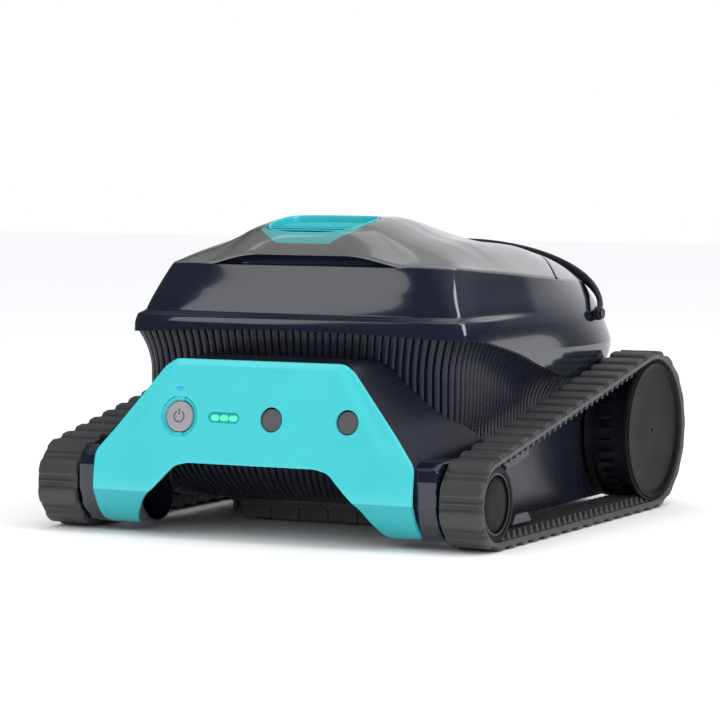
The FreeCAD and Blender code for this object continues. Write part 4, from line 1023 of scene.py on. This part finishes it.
# ---- handle ---------------------------------------------------------------------------------
def make_handle():
    """Bail round the rear: a broad flattened strap that narrows to its pivots."""
    pivot_y, pivot_z, half, end_y, end_z = 128.0, 176.0, 163.5, 204.0, 232.0
    up = np.array([0, -(end_z - pivot_z), end_y - pivot_y])
    up = up / np.linalg.norm(up)

    def line(share):
        turn = math.pi * share
        c, s = math.cos(turn), math.sin(turn)
        rise = abs(s) ** (2 / 1.8)
        return np.array([half * math.copysign(abs(c) ** (2 / 1.8), c),
                         pivot_y + (end_y - pivot_y) * rise, pivot_z + (end_z - pivot_z) * rise])

    rings = []
    count = 121
    for i in range(count):
        share = i / (count - 1)
        at, a, b = line(share), line(min(share + 0.004, 1)), line(max(share - 0.004, 0))
        side = np.cross(a - b, up)
        side = side / np.linalg.norm(side)
        swell = math.sin(math.pi * share)  # fullest behind the cleaner
        strap = float(smooth(0.10, 0.14, min(share, 1 - share)))
        thick, wide = 2.3 + 1.4 * swell, 3.0 + 1.3 * strap + 2.2 * swell * strap
        ring = []
        for k in range(20):
            t = 2 * math.pi * k / 20
            c, s = math.cos(t), math.sin(t)
            ring.append(at + side * thick * math.copysign(abs(c) ** 0.7, c)
                        + up * wide * math.copysign(abs(s) ** 0.7, s))
        rings.append(ring)
    pts = np.array(rings)
    strap = (pts, tube_faces(count, 20))
    eyes = []
    for _, sign in SIDES:
        profile = [(160.8, 3.1), (160.8, 5.4), (161.3, 6.0), (165.8, 6.0), (166.4, 5.4),
                   (166.4, 3.1)]
        p, f = lathe(profile, pivot_y, pivot_z, 40)
        eyes.append((on_side(p, sign), f))
    points, faces = merge(strap, *eyes)
    piece("carry_bail", points, faces, M["handle"], "carry_handle",
          ["carry_handle"], sharp=40)


# ---- rubber flaps ---------------------------------------------------------------------------
def make_flaps():
    """Row of soft blades that hang from a rod, slightly bowed."""
    parts = []
    for i in range(6):
        x0 = (i - 3) * 28.4 + 0.8
        across = np.linspace(x0, x0 + 26.8, 9)
        rows = []
        for x in across:
            soft = 0.5 * math.sin(math.pi * (x - x0) / 26.8)
            round_off = 0.25 if x in (across[0], across[-1]) else 0.0
            outline = ((round_off - 83.0, 13.5), (-81.2, 10.8), (-81.1 - 0.4 * soft, 6.0),
                       (-81.0 - soft, 2.5), (-80.4 - soft, 2.0 + round_off), (-79.4 - soft, 2.5),
                       (-79.0 - 0.4 * soft, 6.0), (-78.8, 10.8), (-77.0 - round_off, 13.5),
                       (-78.2, 16.0), (-80.0, 16.6), (-81.8, 16.0))
            rows.append([(x, y, z) for y, z in outline])
        pts = np.array(rows)
        parts.append((pts, tube_faces(9, 12)))
    points, faces = merge(*parts)
    piece("sweep_flaps", points, faces, M["flap"], "rubber_flaps",
          ["rubber_flaps"], sharp=40)


make_upper_shell()
make_top()
make_grille()
make_tub()
make_panel()
make_shoulder()
make_pods()
make_belts()
make_wheels()
make_handle()
make_flaps()


# ---- camera, floor and light ----------------------------------------------------------------
scene = bpy.context.scene
AIM, PITCH = math.radians(27.032), math.radians(4.182)
camera = bpy.data.objects.new("camera", bpy.data.cameras.new("camera"))
camera.data.lens = 166.8
camera.data.sensor_width = 36.0
camera.data.clip_end = 50.0
camera.location = (1.3282, -2.6236, 0.3521)
camera.rotation_euler = (math.pi / 2 - PITCH, 0.0, AIM)
scene.collection.objects.link(camera)
scene.camera = camera


def stage_plane():
    """Pale floor that the belts stand on."""
    size, level = 6.0, -0.0003
    corners = ((-size, -size), (size, -size), (size, size), (-size, size))
    mesh = bpy.data.meshes.new("floor")
    mesh.from_pydata([(x, y, level) for x, y in corners], [], [(0, 1, 2, 3)])
    floor = bpy.data.objects.new("floor", mesh)
    scene.collection.objects.link(floor)
    mesh.materials.append(material("floor_pale", (0.96, 0.96, 0.962), 0.8, mottle=0.004,
                                   rough_vary=0.03, ior=1.02))


def area_light(name, place, target, size, power):
    """Soft rectangular light aimed at a point."""
    data = bpy.data.lights.new(name, "AREA")
    data.shape = "RECTANGLE"
    data.size, data.size_y = size
    data.energy = power
    obj = bpy.data.objects.new(name, data)
    obj.location = place
    aim = Vector(target) - Vector(place)
    obj.rotation_euler = aim.to_track_quat("-Z", "Y").to_euler()
    scene.collection.objects.link(obj)


ROOM_GLOSS = 0.07


def set_world():
    """Even pale room: bright to the eye, dimmer in reflections so that dark gloss stays dark."""
    world = bpy.data.worlds.new("room")
    world.use_nodes = True
    scene.world = world
    nodes, links = world.node_tree.nodes, world.node_tree.links
    ground = nodes["Background"]
    ground.inputs["Color"].default_value = (0.90, 0.92, 0.95, 1.0)
    place = nodes.new("ShaderNodeTexCoord").outputs["Generated"]
    total = None
    for towards, start, full, power in (((-0.12, 0.98, 0.14), 0.83, 0.99, 0.9),
                                        ((0.25, 0.35, 0.90), 0.50, 0.97, 0.42),
                                        ((0.0, 0.0, -1.0), 0.0, 0.5, 0.10)):
        near = nodes.new("ShaderNodeVectorMath")
        near.operation = "DOT_PRODUCT"
        near.inputs[1].default_value = Vector(towards).normalized()
        links.new(place, near.inputs[0])
        lobe = map_range(world.node_tree, near.outputs["Value"], start, full, (0.0, power))
        add = nodes.new("ShaderNodeMath")
        add.operation = "ADD"
        add.inputs[1].default_value = ROOM_GLOSS
        if total is not None:
            links.new(total, add.inputs[1])
        links.new(lobe, add.inputs[0])
        total = add.outputs[0]
    links.new(total, ground.inputs["Strength"])
    path = nodes.new("ShaderNodeLightPath").outputs
    laid = ground.outputs[0]
    for ray, color, power in (("Is Diffuse Ray", (0.97, 0.98, 1.0), 1.1),
                              ("Is Camera Ray", (1.0, 1.0, 1.0), 1.0)):
        seen = nodes.new("ShaderNodeBackground")
        seen.inputs["Color"].default_value = (*color, 1.0)
        seen.inputs["Strength"].default_value = power
        mix = nodes.new("ShaderNodeMixShader")
        links.new(path[ray], mix.inputs["Fac"])
        links.new(laid, mix.inputs[1])
        links.new(seen.outputs[0], mix.inputs[2])
        laid = mix.outputs[0]
    links.new(laid, nodes["World Output"].inputs["Surface"])


stage_plane()
set_world()
area_light("overhead", (0.2, 0.3, 2.0), (0.0, 0.0, 0.15), (1.2, 1.6), 5.0)
area_light("front_left", (-0.95, -1.30, 1.50), (0.0, -0.14, 0.2), (0.36, 0.9), 1.9)
area_light("right_strip", (1.75, -0.14, 1.20), (0.14, -0.13, 0.2), (0.34, 1.9), 13.0)

scene.view_settings.view_transform = "Standard"
